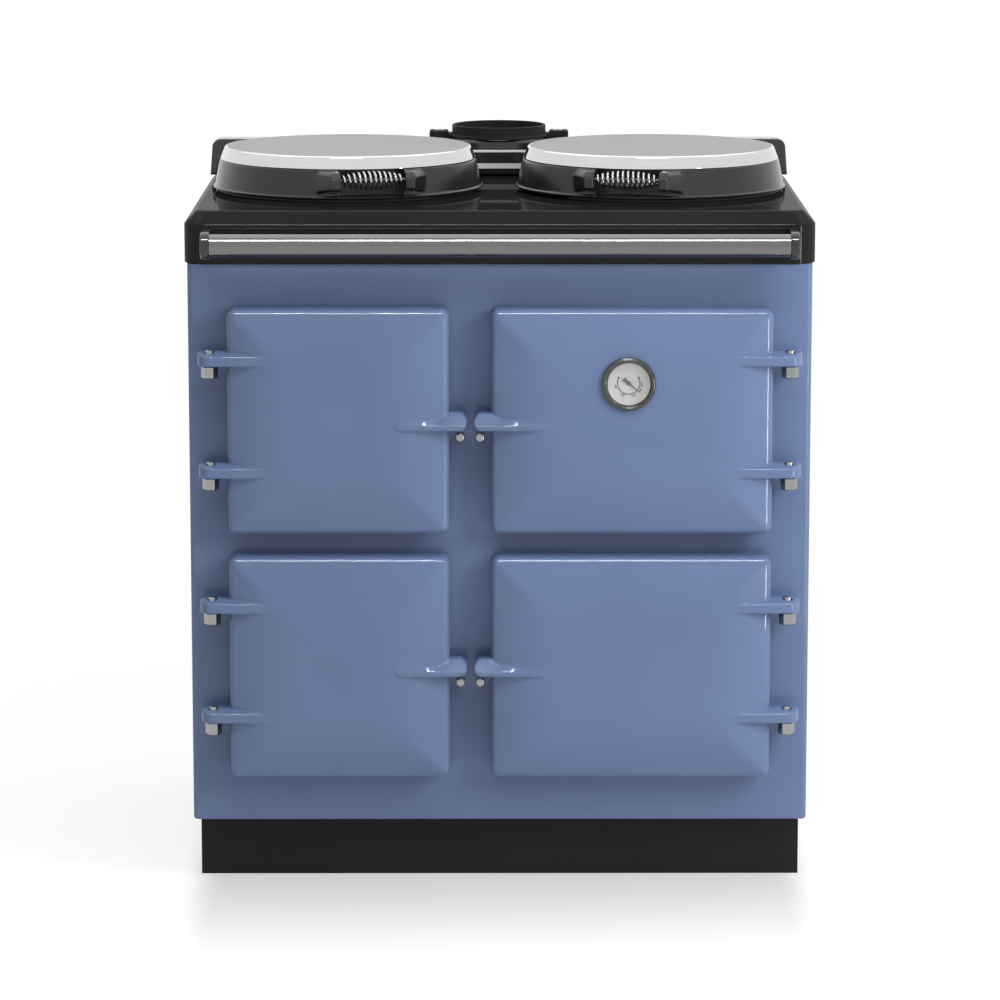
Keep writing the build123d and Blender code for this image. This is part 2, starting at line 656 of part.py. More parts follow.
def least_gap(edges, samples=6):
    """The least gap between turns that are not neighbours along the wire."""
    points, along, total = [], [], 0.0
    for edge in edges:
        for i in range(samples):
            points.append(edge.position_at(i / samples))
            along.append(total + edge.length * i / samples)
        total += edge.length
    near = 2 * math.pi * SPRING_END_RADIUS / 2
    gaps = [(points[i] - points[j]).length for i in range(len(points)) for j in range(i)
            if along[i] - along[j] > near]
    return min(gaps) - SPRING_WIRE


def make_handle_spring(side, edges):
    section = Plane(edges[0] @ 0, z_dir=edges[0] % 0) * Circle(SPRING_WIRE / 2)
    return handle_place(side) * sweep(section, path=Wire(edges))


def make_lid_hinge_brackets():
    ears = []
    half = EAR_FOOT / 2
    for side in (-1, 1):
        for end in (-1, 1):
            near = TONGUE_WIDTH / 2 + EAR_GAP
            x0, x1 = sorted((lid_x(side) + end * near, lid_x(side) + end * (near + EAR_WIDTH)))
            points = [(LID_HINGE_Y - half, HOB_HEIGHT), (LID_HINGE_Y + half, HOB_HEIGHT),
                      (LID_HINGE_Y + KNUCKLE_RADIUS, LID_HINGE_Z),
                      (LID_HINGE_Y - KNUCKLE_RADIUS, LID_HINGE_Z)]
            ear = side_plate(points, x0, x1) + side_rod(KNUCKLE_RADIUS, LID_HINGE_Y, LID_HINGE_Z, x0, x1)
            ears.append(ear - side_rod(LID_PIN_RADIUS, LID_HINGE_Y, LID_HINGE_Z, x0, x1))
    return ears


def make_lid_hinge_pins():
    half = TONGUE_WIDTH / 2 + EAR_GAP + EAR_WIDTH + LID_PIN_OVERHANG
    return [side_rod(LID_PIN_RADIUS, LID_HINGE_Y, LID_HINGE_Z, lid_x(side) - half, lid_x(side) + half)
            for side in (-1, 1)]


# Doors


def vault(half):
    """Section of a door front: upright edges, then a slope that levels out to a flat crown."""
    crown = half - HIP_WIDTH
    lines = [Line((-half, 0), (-half, DOOR_RIM)),
             TangentArc((-crown, DOOR_CROWN), (-half, DOOR_RIM), tangent=(-1, 0)),
             Line((-crown, DOOR_CROWN), (crown, DOOR_CROWN)),
             TangentArc((crown, DOOR_CROWN), (half, DOOR_RIM), tangent=(1, 0)),
             Line((half, DOOR_RIM), (half, 0)),
             Line((half, 0), (-half, 0))]
    face = make_face(lines)
    rims = [v for v in face.vertices() if abs(v.Y - DOOR_RIM) < 1e-6]
    return fillet(rims, DOOR_EDGE_RADIUS)


def door_blank(door):
    """Two vaults that cross: a hipped front whose creases fade out towards the middle."""
    centre = (door.x, DOOR_BACK, door.z)
    level = Plane(centre, x_dir=(1, 0, 0), z_dir=(0, 0, -1)) * vault(door.width / 2)
    tall = Plane(centre, x_dir=(0, 0, 1), z_dir=(1, 0, 0)) * vault(DOOR_HEIGHT / 2)
    blank = extrude(level, DOOR_HEIGHT / 2, both=True) & extrude(tall, door.width / 2, both=True)
    return blank & front_panel(door.x, door.z, door.width, DOOR_HEIGHT, DOOR_CORNER_RADIUS,
                               DOOR_BACK - DOOR_CROWN, DOOR_BACK)


def hinge_arm(door, lift):
    """An arm from the hinge pin to where the door's slope buries it."""
    z0 = door.z + lift - ARM_HEIGHT / 2
    root = door.hinge_x - door.side * (HINGE_EDGE_GAP + ARM_RIB)
    near, far = HINGE_Y - ARM_RADIUS, HINGE_Y + ARM_RADIUS
    plan = Polyline((door.hinge_x, near), (root, near - ARM_LEAN), (root, far), (door.hinge_x, far),
                    close=True)
    arm = Pos(0, 0, z0) * extrude(make_face(plan), ARM_HEIGHT)
    long = [edge for edge in arm.edges() if edge.center().Y < near and edge.length > ARM_RIB]
    arm = fillet(long, ARM_EDGE_RADIUS)
    return arm + upright(ARM_RADIUS, door.hinge_x, HINGE_Y, z0, z0 + ARM_HEIGHT)


def catch_arm(door):
    """The arm on the free side, round at its end, with a lug that passes over the stud."""
    end = door.free_x - door.side * CATCH_REACH
    root = door.free_x + door.side * CATCH_RIB
    radius = CATCH_HEIGHT / 2
    z = door.z + CATCH_RISE
    y0, y1 = HINGE_Y - ARM_RADIUS, HINGE_Y + ARM_RADIUS
    tip = end + door.side * radius
    plan = Polyline((tip, y0), (root, y0 - CATCH_LEAN), (root, y1), (tip, y1), close=True)
    arm = Pos(0, 0, z - radius) * extrude(make_face(plan), CATCH_HEIGHT)
    long = [edge for edge in arm.edges() if edge.center().Y < y0 and edge.length > CATCH_RIB]
    arm = fillet(long, ARM_EDGE_RADIUS)
    round_end = front_rod(radius, tip, z, y0, y1)
    arm += fillet(round_end.edges().sort_by(Axis.Y)[0], ARM_EDGE_RADIUS)
    x0, x1 = sorted((door.free_x, door.free_x - door.side * CATCH_LUG_WIDTH))
    return arm + block(x0, x1, y1 - CATCH_LUG_DEPTH, y1, z - radius - CATCH_LUG_DROP, z)


def make_door(door):
    body = door_blank(door)
    for lift in (ARM_UPPER, ARM_LOWER):
        body += hinge_arm(door, lift)
    body += catch_arm(door)
    for lift in (ARM_UPPER, ARM_LOWER):
        z = door.z + lift
        body -= upright(HINGE_PIN_RADIUS + RUNNING_CLEARANCE, door.hinge_x, HINGE_Y,
                        z - ARM_HEIGHT / 2, z + ARM_HEIGHT / 2)
    body -= front_panel(door.x, door.z, door.span, door.rise, APERTURE_CORNER_RADIUS,
                        DOOR_BACK - DOOR_HOLLOW_DEPTH, DOOR_BACK)
    if door is UPPER_RIGHT:
        body -= front_rod(GAUGE_CASE_RADIUS + GAUGE_FIT, GAUGE_X, GAUGE_Z, DOOR_BACK - DOOR_CROWN,
                          GAUGE_SEAT_Y)
    return body


def make_door_panel(door):
    """The steel pan on the back of a door: a flange over the hollow, and a dish in the aperture's mouth."""
    margin = 2 * (SEAL_INNER - PAN_FLANGE_GAP)
    flange = front_panel(door.x, door.z, door.span + margin, door.rise + margin,
                         APERTURE_CORNER_RADIUS + margin / 2, DOOR_BACK, DOOR_BACK + LINER_WALL)
    width, height = door.span - 2 * PLUG_CLEARANCE, door.rise - 2 * PLUG_CLEARANCE
    radius = APERTURE_CORNER_RADIUS - PLUG_EDGE
    dish = front_panel(door.x, door.z, width, height, radius, DOOR_BACK, DOOR_BACK + PLUG_DEPTH)
    dish = chamfer(dish.faces().sort_by(Axis.Y)[-1].edges(), PLUG_EDGE)
    return flange + dish - front_panel(door.x, door.z, width - 2 * PAN_WALL, height - 2 * PAN_WALL,
                                       radius - PAN_WALL, DOOR_BACK, DOOR_BACK + PLUG_DEPTH - PAN_WALL)


def make_door_seal(door):
    y1 = PLATE_FRONT - SEAT_GAP
    outer = front_panel(door.x, door.z, door.span + 2 * SEAL_OUTER, door.rise + 2 * SEAL_OUTER,
                        APERTURE_CORNER_RADIUS + SEAL_OUTER, DOOR_BACK, y1)
    return outer - front_panel(door.x, door.z, door.span + 2 * SEAL_INNER, door.rise + 2 * SEAL_INNER,
                               APERTURE_CORNER_RADIUS + SEAL_INNER, DOOR_BACK, y1)


def shank_z(door, lift):
    """Height of a hinge pin's shank: the middle of the collar under the arm."""
    return door.z + lift - ARM_HEIGHT / 2 - SEAT_GAP - PIN_COLLAR_HEIGHT / 2


def stud_x(door):
    return door.free_x - door.side * (CATCH_REACH - STUD_INSET)


def make_hinge_pins():
    pins = []
    for door in OPENINGS:
        for lift in (ARM_UPPER, ARM_LOWER):
            z = shank_z(door, lift)
            low = Pos(door.hinge_x, HINGE_Y, z - PIN_COLLAR_HEIGHT / 2)
            pin = low * extrude(RegularPolygon(PIN_COLLAR_RADIUS, 6), PIN_COLLAR_HEIGHT)
            pin += upright(HINGE_PIN_RADIUS, door.hinge_x, HINGE_Y, z,
                           door.z + lift + ARM_HEIGHT / 2 + HINGE_PIN_TIP)
            pins.append(pin + front_rod(SHANK_RADIUS, door.hinge_x, z, HINGE_Y, PLATE_BACK))
    return pins


def make_catch_studs():
    studs = []
    for door in OPENINGS:
        x, z = stud_x(door), door.z - STUD_DROP
        stud = front_hexagon(STUD_HEAD_RADIUS, x, z, HINGE_Y - STUD_HEAD_LENGTH / 2,
                             HINGE_Y + STUD_HEAD_LENGTH / 2)
        studs.append(stud + front_rod(STUD_RADIUS, x, z, HINGE_Y, PLATE_BACK))
    return studs


# Heat gauge in the upper right door

GAUGE_X = UPPER_RIGHT.x + GAUGE_OFFSET_X
GAUGE_Z = UPPER_RIGHT.z + GAUGE_OFFSET_Z
GAUGE_FACE_Y = DOOR_BACK - DOOR_CROWN
GAUGE_SEAT_Y = GAUGE_FACE_Y + GAUGE_CASE_DEPTH
DIAL_Y = GAUGE_SEAT_Y - GAUGE_FLOOR


def make_gauge_dial():
    """The dial on the floor of its shallow case."""
    case = front_rod(GAUGE_CASE_RADIUS, GAUGE_X, GAUGE_Z, GAUGE_FACE_Y, GAUGE_SEAT_Y)
    case -= front_rod(GAUGE_CASE_RADIUS - GAUGE_CASE_WALL, GAUGE_X, GAUGE_Z, GAUGE_FACE_Y, DIAL_Y)
    return case - front_rod(NEEDLE_SPINDLE_RADIUS + RUNNING_CLEARANCE, GAUGE_X, GAUGE_Z, DIAL_Y,
                            DIAL_Y + GAUGE_FLOOR / 2)


def make_gauge_needle():
    y1 = DIAL_Y - NEEDLE_LIFT
    spindle = front_rod(NEEDLE_SPINDLE_RADIUS, 0, 0, y1 - NEEDLE_THICKNESS,
                        DIAL_Y + GAUGE_FLOOR / 2 - SEAT_GAP)
    half = NEEDLE_WIDTH / 2
    outline = Polyline((0, half), (NEEDLE_LENGTH, 0), (0, -half), (-NEEDLE_TAIL, -NEEDLE_WIDTH),
                       (-NEEDLE_TAIL, NEEDLE_WIDTH), close=True)
    pointer = Pos(0, y1, 0) * extrude(Plane.XZ * make_face(outline), NEEDLE_THICKNESS)
    hub = front_rod(NEEDLE_WIDTH, 0, 0, y1 - NEEDLE_THICKNESS, y1)
    return Pos(GAUGE_X, 0, GAUGE_Z) * Rot(0, -NEEDLE_ANGLE, 0) * (pointer + hub + spindle)


def make_gauge_glass():
    return front_rod(GLASS_RADIUS, GAUGE_X, GAUGE_Z, GAUGE_FACE_Y - GLASS_THICKNESS, GAUGE_FACE_Y)


def make_gauge_bezel():
    front = GAUGE_FACE_Y - BEZEL_DEPTH
    ring = front_rod(GAUGE_RADIUS, GAUGE_X, GAUGE_Z, front, GAUGE_FACE_Y)
    rim = ring.edges().filter_by(GeomType.CIRCLE).sort_by(Axis.Y)[0]
    ring = fillet(rim, BEZEL_EDGE_RADIUS)
    ring -= front_rod(GAUGE_SIGHT_RADIUS, GAUGE_X, GAUGE_Z, front, GAUGE_FACE_Y)
    return ring - front_rod(GLASS_RADIUS + GAUGE_FIT, GAUGE_X, GAUGE_Z, GAUGE_FACE_Y - GLASS_THICKNESS,
                            GAUGE_FACE_Y)


# Ovens and compartments


def make_liner(door, depth):
    """A box open at the front, with a flange against the back of the front plate."""
    wall = LINER_WALL
    margin = 2 * (wall + LINER_FLANGE)
    flange = front_panel(door.x, door.z, door.span + margin, door.rise + margin, APERTURE_CORNER_RADIUS,
                         PLATE_BACK, PLATE_BACK + wall)
    shell = front_panel(door.x, door.z, door.span + 2 * wall, door.rise + 2 * wall,
                        APERTURE_CORNER_RADIUS + wall, PLATE_BACK, PLATE_BACK + depth)
    cavity = front_panel(door.x, door.z, door.span, door.rise, APERTURE_CORNER_RADIUS,
                         PLATE_BACK, PLATE_BACK + depth - wall)
    return flange + shell - cavity


def runner_z(door):
    return door.z - door.rise / 2 + RUNNER_HEIGHT


def make_oven_liner(door):
    liner = make_liner(door, OVEN_DEPTH)
    y0, y1 = DOOR_BACK + 2 * PLUG_DEPTH, PLATE_BACK + OVEN_DEPTH - LINER_WALL
    z1 = runner_z(door)
    for end in (-1, 1):
        wall_x = door.x + end * (door.span / 2 + LINER_WALL / 2)
        x0, x1 = sorted((wall_x, door.x + end * (door.span / 2 - RUNNER_WIDTH)))
        liner += block(x0, x1, y0, y1, z1 - RUNNER_THICKNESS, z1)
    return liner


def make_oven_shelf(door):
    """A wire shelf that lies on the two runners of its oven."""
    z0 = runner_z(door)
    half = door.span / 2 - SHELF_CLEARANCE
    y0 = DOOR_BACK + 2 * PLUG_DEPTH
    y1 = PLATE_BACK + OVEN_DEPTH - LINER_WALL - SHELF_CLEARANCE
    shelf = block(door.x - half, door.x + half, y0, y1, z0, z0 + SHELF_BAR)
    shelf -= block(door.x - half + SHELF_BAR, door.x + half - SHELF_BAR, y0 + SHELF_BAR, y1 - SHELF_BAR,
                   z0, z0 + SHELF_BAR)
    pitch = 2 * half / (SHELF_RODS + 1)
    for i in range(1, SHELF_RODS + 1):
        shelf += front_rod(SHELF_ROD_RADIUS, door.x - half + i * pitch, z0 + SHELF_BAR / 2,
                           y0 + SHELF_BAR / 2, y1 - SHELF_BAR / 2)
    return shelf


PANEL_Y = PLATE_BACK + CONTROL_DEPTH - LINER_WALL


def make_control_panel():
    door = UPPER_LEFT
    panel = front_panel(door.x, door.z, door.span - 2 * PANEL_INSET, door.rise - 2 * PANEL_INSET,
                        APERTURE_CORNER_RADIUS, PANEL_Y - PANEL_THICKNESS, PANEL_Y)
    return panel - front_rod(KNOB_SPINDLE_RADIUS + RUNNING_CLEARANCE, door.x, door.z,
                             PANEL_Y - PANEL_THICKNESS, PANEL_Y)


def make_thermostat_knob():
    x, z = UPPER_LEFT.x, UPPER_LEFT.z
    y1 = PANEL_Y - PANEL_THICKNESS - KNOB_GAP
    skirt = front_rod(KNOB_RADIUS, x, z, y1 - KNOB_DEPTH / 2, y1)
    skirt = chamfer(skirt.edges().filter_by(GeomType.CIRCLE).sort_by(Axis.Y)[0], KNOB_DEPTH / 5)
    grip = front_panel(x, z, KNOB_GRIP, 2 * KNOB_RADIUS - KNOB_GRIP, KNOB_GRIP / 2.5, y1 - KNOB_DEPTH, y1)
    return skirt + grip + front_rod(KNOB_SPINDLE_RADIUS, x, z, y1, PANEL_Y - SEAT_GAP)


BURNER_WALL_Y = PLATE_BACK + BURNER_DEPTH - LINER_WALL


def make_burner_liner():
    door = LOWER_LEFT
    return make_liner(door, BURNER_DEPTH) - front_rod(BURNER_TUBE_RADIUS, door.x, door.z, BURNER_WALL_Y,
                                                      PLATE_BACK + BURNER_DEPTH)


def make_burner_housing():
    """A fan scroll with its motor, bolted to the back wall of the compartment."""
    x, z = LOWER_LEFT.x, LOWER_LEFT.z
    front = BURNER_WALL_Y - SCROLL_DEPTH
    scroll = front_rod(SCROLL_RADIUS, x, z, front, BURNER_WALL_Y)
    scroll += block(x, x + SCROLL_RADIUS, front, BURNER_WALL_Y, z - SCROLL_RADIUS, z - SCROLL_RADIUS / 3)
    scroll = fillet(scroll.faces().sort_by(Axis.Y)[0].edges(), BURNER_EDGE_RADIUS)
    motor = front_rod(MOTOR_RADIUS, x, z, front - MOTOR_DEPTH, front)
    motor = fillet(motor.edges().filter_by(GeomType.CIRCLE).sort_by(Axis.Y)[0], BURNER_EDGE_RADIUS)
    return scroll + motor


def make_burner_tube():
    x, z = LOWER_LEFT.x, LOWER_LEFT.z
    y1 = BURNER_WALL_Y + BURNER_TUBE_REACH
    tube = front_rod(BURNER_TUBE_RADIUS, x, z, BURNER_WALL_Y, y1)
    return tube - front_rod(BURNER_TUBE_RADIUS - BURNER_TUBE_WALL, x, z, BURNER_WALL_Y, y1)


def make_combustion_chamber():
    x = LOWER_LEFT.x
    half = CHAMBER_WIDTH / 2
    y0, y1 = CHAMBER_FRONT, CHAMBER_BACK
    z1 = BASE_Z + CHAMBER_HEIGHT
    wall = CHAMBER_WALL
    box = block(x - half, x + half, y0, y1, BASE_Z, z1)
    box -= block(x - half + wall, x + half - wall, y0 + wall, y1 - wall, BASE_Z + wall, z1 - wall)
    box -= front_rod(BURNER_TUBE_RADIUS, x, LOWER_LEFT.z, y0, y0 + wall)
    return box - upright(DUCT_RADIUS, DUCT_START_X, FLUE_Y, z1 - wall, z1)


def make_flue_duct():
    """A pipe that rises from the chamber and steps across to the flue."""
    z0 = BASE_Z + CHAMBER_HEIGHT - CHAMBER_WALL
    corners = [(DUCT_START_X, FLUE_Y, z0), (DUCT_START_X, FLUE_Y, z0 + DUCT_RISE),
               (0, FLUE_Y, HOB_HEIGHT - DUCT_RISE), (0, FLUE_Y, HOB_HEIGHT)]
    path = FilletPolyline(*corners, radius=DUCT_BEND_RADIUS)
    section = Plane((DUCT_START_X, FLUE_Y, z0)) * (Circle(DUCT_RADIUS) - Circle(DUCT_RADIUS - DUCT_WALL))
    return sweep(section, path=path)


def make_insulation_boards():
    boards = []
    for side in (-1, 1):
        x0, x1 = sorted((side * PANEL_X, side * (PANEL_X - BOARD_THICKNESS)))
        boards.append(block(x0, x1, PLATE_BACK + BOARD_FRONT_GAP, CASE_BACK - BOARD_BACK_GAP, BASE_Z,
                            SKIRT_Z - BOARD_TOP_GAP))
    return boards


def main():
    spring = spring_path()
    length = sum(edge.length for edge in spring)
    print("spring wire", round(length, 1), "least gap", round(least_gap(spring), 2))
    nodes = {
        "plinth": make_plinth(),
        "base_plate": make_base_plate(),
        "side_panel_left": make_side_panel(-1),
        "side_panel_right": make_side_panel(1),
        "back_panel": make_back_panel(),
        "front_plate": make_front_plate(),
        "top_plate": make_top_plate(),
        "hotplate_left": make_hotplate(-1),
        "hotplate_right": make_hotplate(1),
        "rear_upstand": make_rear_upstand(),
        "flue_box": make_flue_box(),
        "flue_collar": make_flue_collar(),
        "flue_collar_bolts": make_flue_collar_bolts(),
        "badge_plate": make_badge_plate(),
        "towel_rail": make_towel_rail(),
        "rail_brackets": make_rail_brackets(),
        "lid_hinge_brackets": make_lid_hinge_brackets(),
        "lid_hinge_pins": make_lid_hinge_pins(),
        "hinge_pins": make_hinge_pins(),
        "catch_studs": make_catch_studs(),
        "gauge_dial": make_gauge_dial(),
        "gauge_needle": make_gauge_needle(),
        "gauge_glass": make_gauge_glass(),
        "gauge_bezel": make_gauge_bezel(),
        "roasting_oven_liner": make_oven_liner(UPPER_RIGHT),
        "simmering_oven_liner": make_oven_liner(LOWER_RIGHT),
        "roasting_oven_shelf": make_oven_shelf(UPPER_RIGHT),
        "simmering_oven_shelf": make_oven_shelf(LOWER_RIGHT),
        "control_compartment_liner": make_liner(UPPER_LEFT, CONTROL_DEPTH),
        "control_panel": make_control_panel(),
        "thermostat_knob": make_thermostat_knob(),
        "burner_compartment_liner": make_burner_liner(),
        "burner_housing": make_burner_housing(),
        "burner_tube": make_burner_tube(),
        "combustion_chamber": make_combustion_chamber(),
        "flue_duct": make_flue_duct(),
        "insulation_boards": make_insulation_boards(),
    }
    for side, name in ((-1, "left"), (1, "right")):
        nodes["lid_" + name] = make_lid(side)
        nodes["lid_cap_" + name] = make_lid_cap(side)
        nodes["lid_liner_" + name] = make_lid_liner(side)
        nodes["handle_rod_" + name] = make_handle_rod(side)
        nodes["handle_spring_" + name] = make_handle_spring(side, spring)
    for door in OPENINGS:
        nodes["door_" + door.name] = make_door(door)
        nodes["door_panel_" + door.name] = make_door_panel(door)
        nodes["door_seal_" + door.name] = make_door_seal(door)
    os.makedirs("parts", exist_ok=True)
    for name, shape in nodes.items():
        solids = shape if isinstance(shape, list) else [shape]
        export_step(Compound(children=[s for piece in solids for s in piece.solids()]), f"parts/{name}.step")


main()
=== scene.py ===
"""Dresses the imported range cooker: enamelled castings, bright metal, heat gauge, ovens and a studio."""

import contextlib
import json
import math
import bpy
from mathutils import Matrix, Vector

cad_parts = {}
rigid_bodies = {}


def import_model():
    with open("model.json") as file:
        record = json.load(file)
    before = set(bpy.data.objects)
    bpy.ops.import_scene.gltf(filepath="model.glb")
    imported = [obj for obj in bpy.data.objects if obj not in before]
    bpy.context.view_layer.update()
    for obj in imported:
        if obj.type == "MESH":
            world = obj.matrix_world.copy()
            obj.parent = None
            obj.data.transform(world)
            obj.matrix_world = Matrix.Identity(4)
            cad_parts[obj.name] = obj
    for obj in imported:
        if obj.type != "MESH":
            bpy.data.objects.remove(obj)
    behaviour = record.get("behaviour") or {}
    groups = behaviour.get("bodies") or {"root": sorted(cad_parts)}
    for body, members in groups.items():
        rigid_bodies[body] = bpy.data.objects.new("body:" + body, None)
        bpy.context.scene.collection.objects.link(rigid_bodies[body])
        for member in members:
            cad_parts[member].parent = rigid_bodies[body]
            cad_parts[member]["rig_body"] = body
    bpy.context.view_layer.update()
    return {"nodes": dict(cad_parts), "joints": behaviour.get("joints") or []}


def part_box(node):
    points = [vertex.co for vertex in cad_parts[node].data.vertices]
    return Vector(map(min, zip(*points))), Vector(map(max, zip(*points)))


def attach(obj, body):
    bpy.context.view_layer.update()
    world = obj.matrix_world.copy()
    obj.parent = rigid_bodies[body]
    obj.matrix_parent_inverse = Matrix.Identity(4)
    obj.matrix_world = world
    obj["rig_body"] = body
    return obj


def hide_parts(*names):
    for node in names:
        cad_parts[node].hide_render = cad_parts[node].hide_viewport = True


bl_info = {
    "name": "Range cooker",
    "version": (1, 0, 0),
    "blender": (4, 5, 0),
    "location": "View3D > Sidebar > Cooker",
    "description": "Builds an enamelled range cooker on its CAD frame, with a studio round it",
    "category": "Object",
}

import bmesh
import bpy
import numpy as np
from mathutils import Matrix, Vector

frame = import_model()

# Lengths are written in millimetres, apart from those of finishes and the studio, which are in metres.
MM = 0.001
DOORS = ("upper_left", "upper_right", "lower_left", "lower_right")
LIDS = (("left", -1), ("right", 1))
HOB = 900.0
SEAT_RADIUS, ROUND_SIDES = 178.0, 128
ARM_LIFTS = (83.5, -64.0)
DOOR_CROWN = 51.0
DOOR_OVERLAP = 8.0
COLLAR_HEIGHT = 16.5
QUARTER_TURN = (math.pi / 2, 0, 0)
FINISHES = {}


def box_mm(node):
    """Lowest and highest corner of a CAD node."""
    low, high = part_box(node)
    return low / MM, high / MM


def lid_centre(name):
    low, high = box_mm("lid_cap_" + name)
    return Vector(((low.x + high.x) / 2, (low.y + high.y) / 2, low.z))


# Settings


def size_prop(name, description, millimetres):
    return bpy.props.FloatProperty(name=name, description=description, default=millimetres * MM, min=0.0,
                                   subtype="DISTANCE", unit="LENGTH", precision=4)


def count_prop(name, description, default, low, high):
    return bpy.props.IntProperty(name=name, description=description, default=default, min=low, max=high)


def angle_prop(name, description, degrees):
    return bpy.props.FloatProperty(name=name, description=description, default=math.radians(degrees),
                                   subtype="ANGLE", unit="ROTATION")


def colour_prop(name, description, default):
    return bpy.props.FloatVectorProperty(name=name, description=description, default=default, size=3,
                                         subtype="COLOR", min=0.0, max=1.0)


class CookerSizes(bpy.types.PropertyGroup):
    """Sizes of the cast and bright pieces."""

    door_edge: size_prop("Door edge", "Radius round a door's front edge", 6.5)
    door_corner: size_prop("Door corner", "Radius of a door's corners, seen from the front", 11)
    door_rim: size_prop("Door rim", "Depth of a door where its slope starts", 34)
    door_hip: size_prop("Door hip", "Width of the slope from a door's edge to its crown", 100)
    door_blend: size_prop("Casting fillet", "Fillet where an arm meets its door", 1.4)
    crease: size_prop("Crease", "Softness of the hips on a door's front", 1.6)
    arm_height: size_prop("Hinge arm height", "Height of a hinge arm", 18)
    catch_height: size_prop("Catch arm height", "Height of a catch arm", 22)
    shoulder: size_prop("Shoulder", "Radius of the top plate's rolled edge", 17)
    top_corner: size_prop("Top corner", "Radius of the top plate's front corners", 18)
    spring_wire: size_prop("Spring wire", "Thickness of the handle spring's wire", 3.2)
    spring_turns: count_prop("Spring turns", "Coils of a handle spring", 12, 4, 30)
    handle_turn: angle_prop("Handle turn", "Turn of a lid's handle towards the middle", 12)
    gauge_arc: size_prop("Gauge arc", "Radius of the arc on the heat gauge", 14.7)
    gauge_marks: count_prop("Gauge marks", "Marks in each group on the heat gauge", 4, 1, 6)


class CookerColours(bpy.types.PropertyGroup):
    """Colours of the enamels and metals."""

    blue: colour_prop("Blue enamel", "Enamel of the doors and the casing", (0.117, 0.165, 0.298))
    black: colour_prop("Black enamel", "Enamel of the top, lids, flue and plinth", (0.012, 0.012, 0.0125))
    chrome: colour_prop("Chrome", "Plated rail, pins, springs and bezel", (0.52, 0.52, 0.515))
    cap: colour_prop("Lid cap", "Spun cap of a lid", (0.31, 0.31, 0.31))
    iron: colour_prop("Cast iron", "Hotplates and burner", (0.045, 0.045, 0.048))
    steel: colour_prop("Sheet steel", "Panels and liners", (0.42, 0.42, 0.43))
    dial: colour_prop("Dial", "Face of the heat gauge", (0.68, 0.68, 0.675))


# Meshes


def new_object(name, data):
    """A mesh, lamp or camera, put into the scene."""
    thing = bpy.data.objects.new(name, data)
    bpy.context.scene.collection.objects.link(thing)
    return thing


def settle(piece, body, slot, finishes, *replaced):
    """Gives a piece its finishes and its body, and hides the CAD nodes that it stands for."""
    piece.data.materials.clear()
    for finish in finishes:
        piece.data.materials.append(FINISHES[finish])
    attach(piece, body)
    if replaced:
        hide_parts(*replaced)


def dress(finish, *nodes):
    """Puts a finish on CAD nodes that keep their own shape."""
    for node in nodes:
        mesh = frame["nodes"][node].data
        mesh.materials.clear()
        mesh.materials.append(FINISHES[finish])


def applied(piece):
    """The piece with its modifiers turned into plain mesh."""
    graph = bpy.context.evaluated_depsgraph_get()
    mesh = bpy.data.meshes.new_from_object(piece.evaluated_get(graph), depsgraph=graph)
    piece.modifiers.clear()
    old = piece.data
    piece.data = mesh
    bpy.data.meshes.remove(old)
    return piece


def even_shading(piece, degrees=35):
    """Smooth shading with crisp corners, where large faces keep their own direction."""
    piece.data.shade_smooth()
    piece.data.set_sharp_from_angle(angle=math.radians(degrees))
    piece.modifiers.new("Even shading", "WEIGHTED_NORMAL").keep_sharp = True
    return applied(piece)


def make(name, mesh, body, slot, finish, *replaced, degrees=35):
    """A shaded piece with one finish."""
    settle(even_shading(new_object(name, mesh), degrees), body, slot, [finish], *replaced)


@contextlib.contextmanager
def editing(mesh):
    """Opens a mesh for editing, and writes it back."""
    shape = bmesh.new()
    shape.from_mesh(mesh)
    yield shape
    shape.to_mesh(mesh)
    shape.free()


def mesh_mm(name, points, faces=()):
    """A smooth mesh from points; without faces, the points alone."""
    mesh = bpy.data.meshes.new(name)
    mesh.from_pydata((np.asarray(points, float) * MM).tolist(), [], [list(face) for face in faces])
    if faces:
        mesh.shade_smooth()
    return mesh


def merged_mesh(name, *meshes):
    """Several meshes in one, with touching corners merged."""
    together = bmesh.new()
    for mesh in meshes:
        together.from_mesh(mesh)
        bpy.data.meshes.remove(mesh)
    bmesh.ops.remove_doubles(together, verts=together.verts, dist=1e-6)
    mesh = bpy.data.meshes.new(name)
    together.to_mesh(mesh)
    together.free()
    return mesh


def round_edges(shape, edges, radius, segments):
    """Rounds some edges of a shape, and turns its millimetres into metres."""
    bmesh.ops.bevel(shape, geom=edges, offset=radius, segments=segments, profile=0.5, affect="EDGES",
                    clamp_overlap=True)
    bmesh.ops.scale(shape, vec=(MM, MM, MM), verts=shape.verts)


def rounded_box(name, low, high, radius, segments=3):
    """A box with every edge rounded."""
    mesh = bpy.data.meshes.new(name)
    low, high = Vector(low), Vector(high)
    with editing(mesh) as shape:
        bmesh.ops.create_cube(shape, size=1.0)
        for vert in shape.verts:
            vert.co = Vector(((low + high) / 2)[i] + vert.co[i] * (high - low)[i] for i in range(3))
        round_edges(shape, shape.edges, radius, segments)
    return mesh


def bevelled_plate(name, outline, low, high, radius, axis="Y"):
    """A flat outline pushed through from low to high along X or Y, with its rims rounded."""
    mesh = bpy.data.meshes.new(name)
    with editing(mesh) as shape:
        rims = [[shape.verts.new((u, level, v) if axis == "Y" else (level, u, v)) for u, v in outline]
                for level in (low, high)]
        for i in range(len(outline)):
            j = (i + 1) % len(outline)
            shape.faces.new((rims[0][i], rims[0][j], rims[1][j], rims[1][i]))
        caps = [shape.faces.new(rims[0][::-1]), shape.faces.new(rims[1])]
        bmesh.ops.recalc_face_normals(shape, faces=shape.faces)
        round_edges(shape, list({edge for cap in caps for edge in cap.edges}), radius, 3)
    return mesh


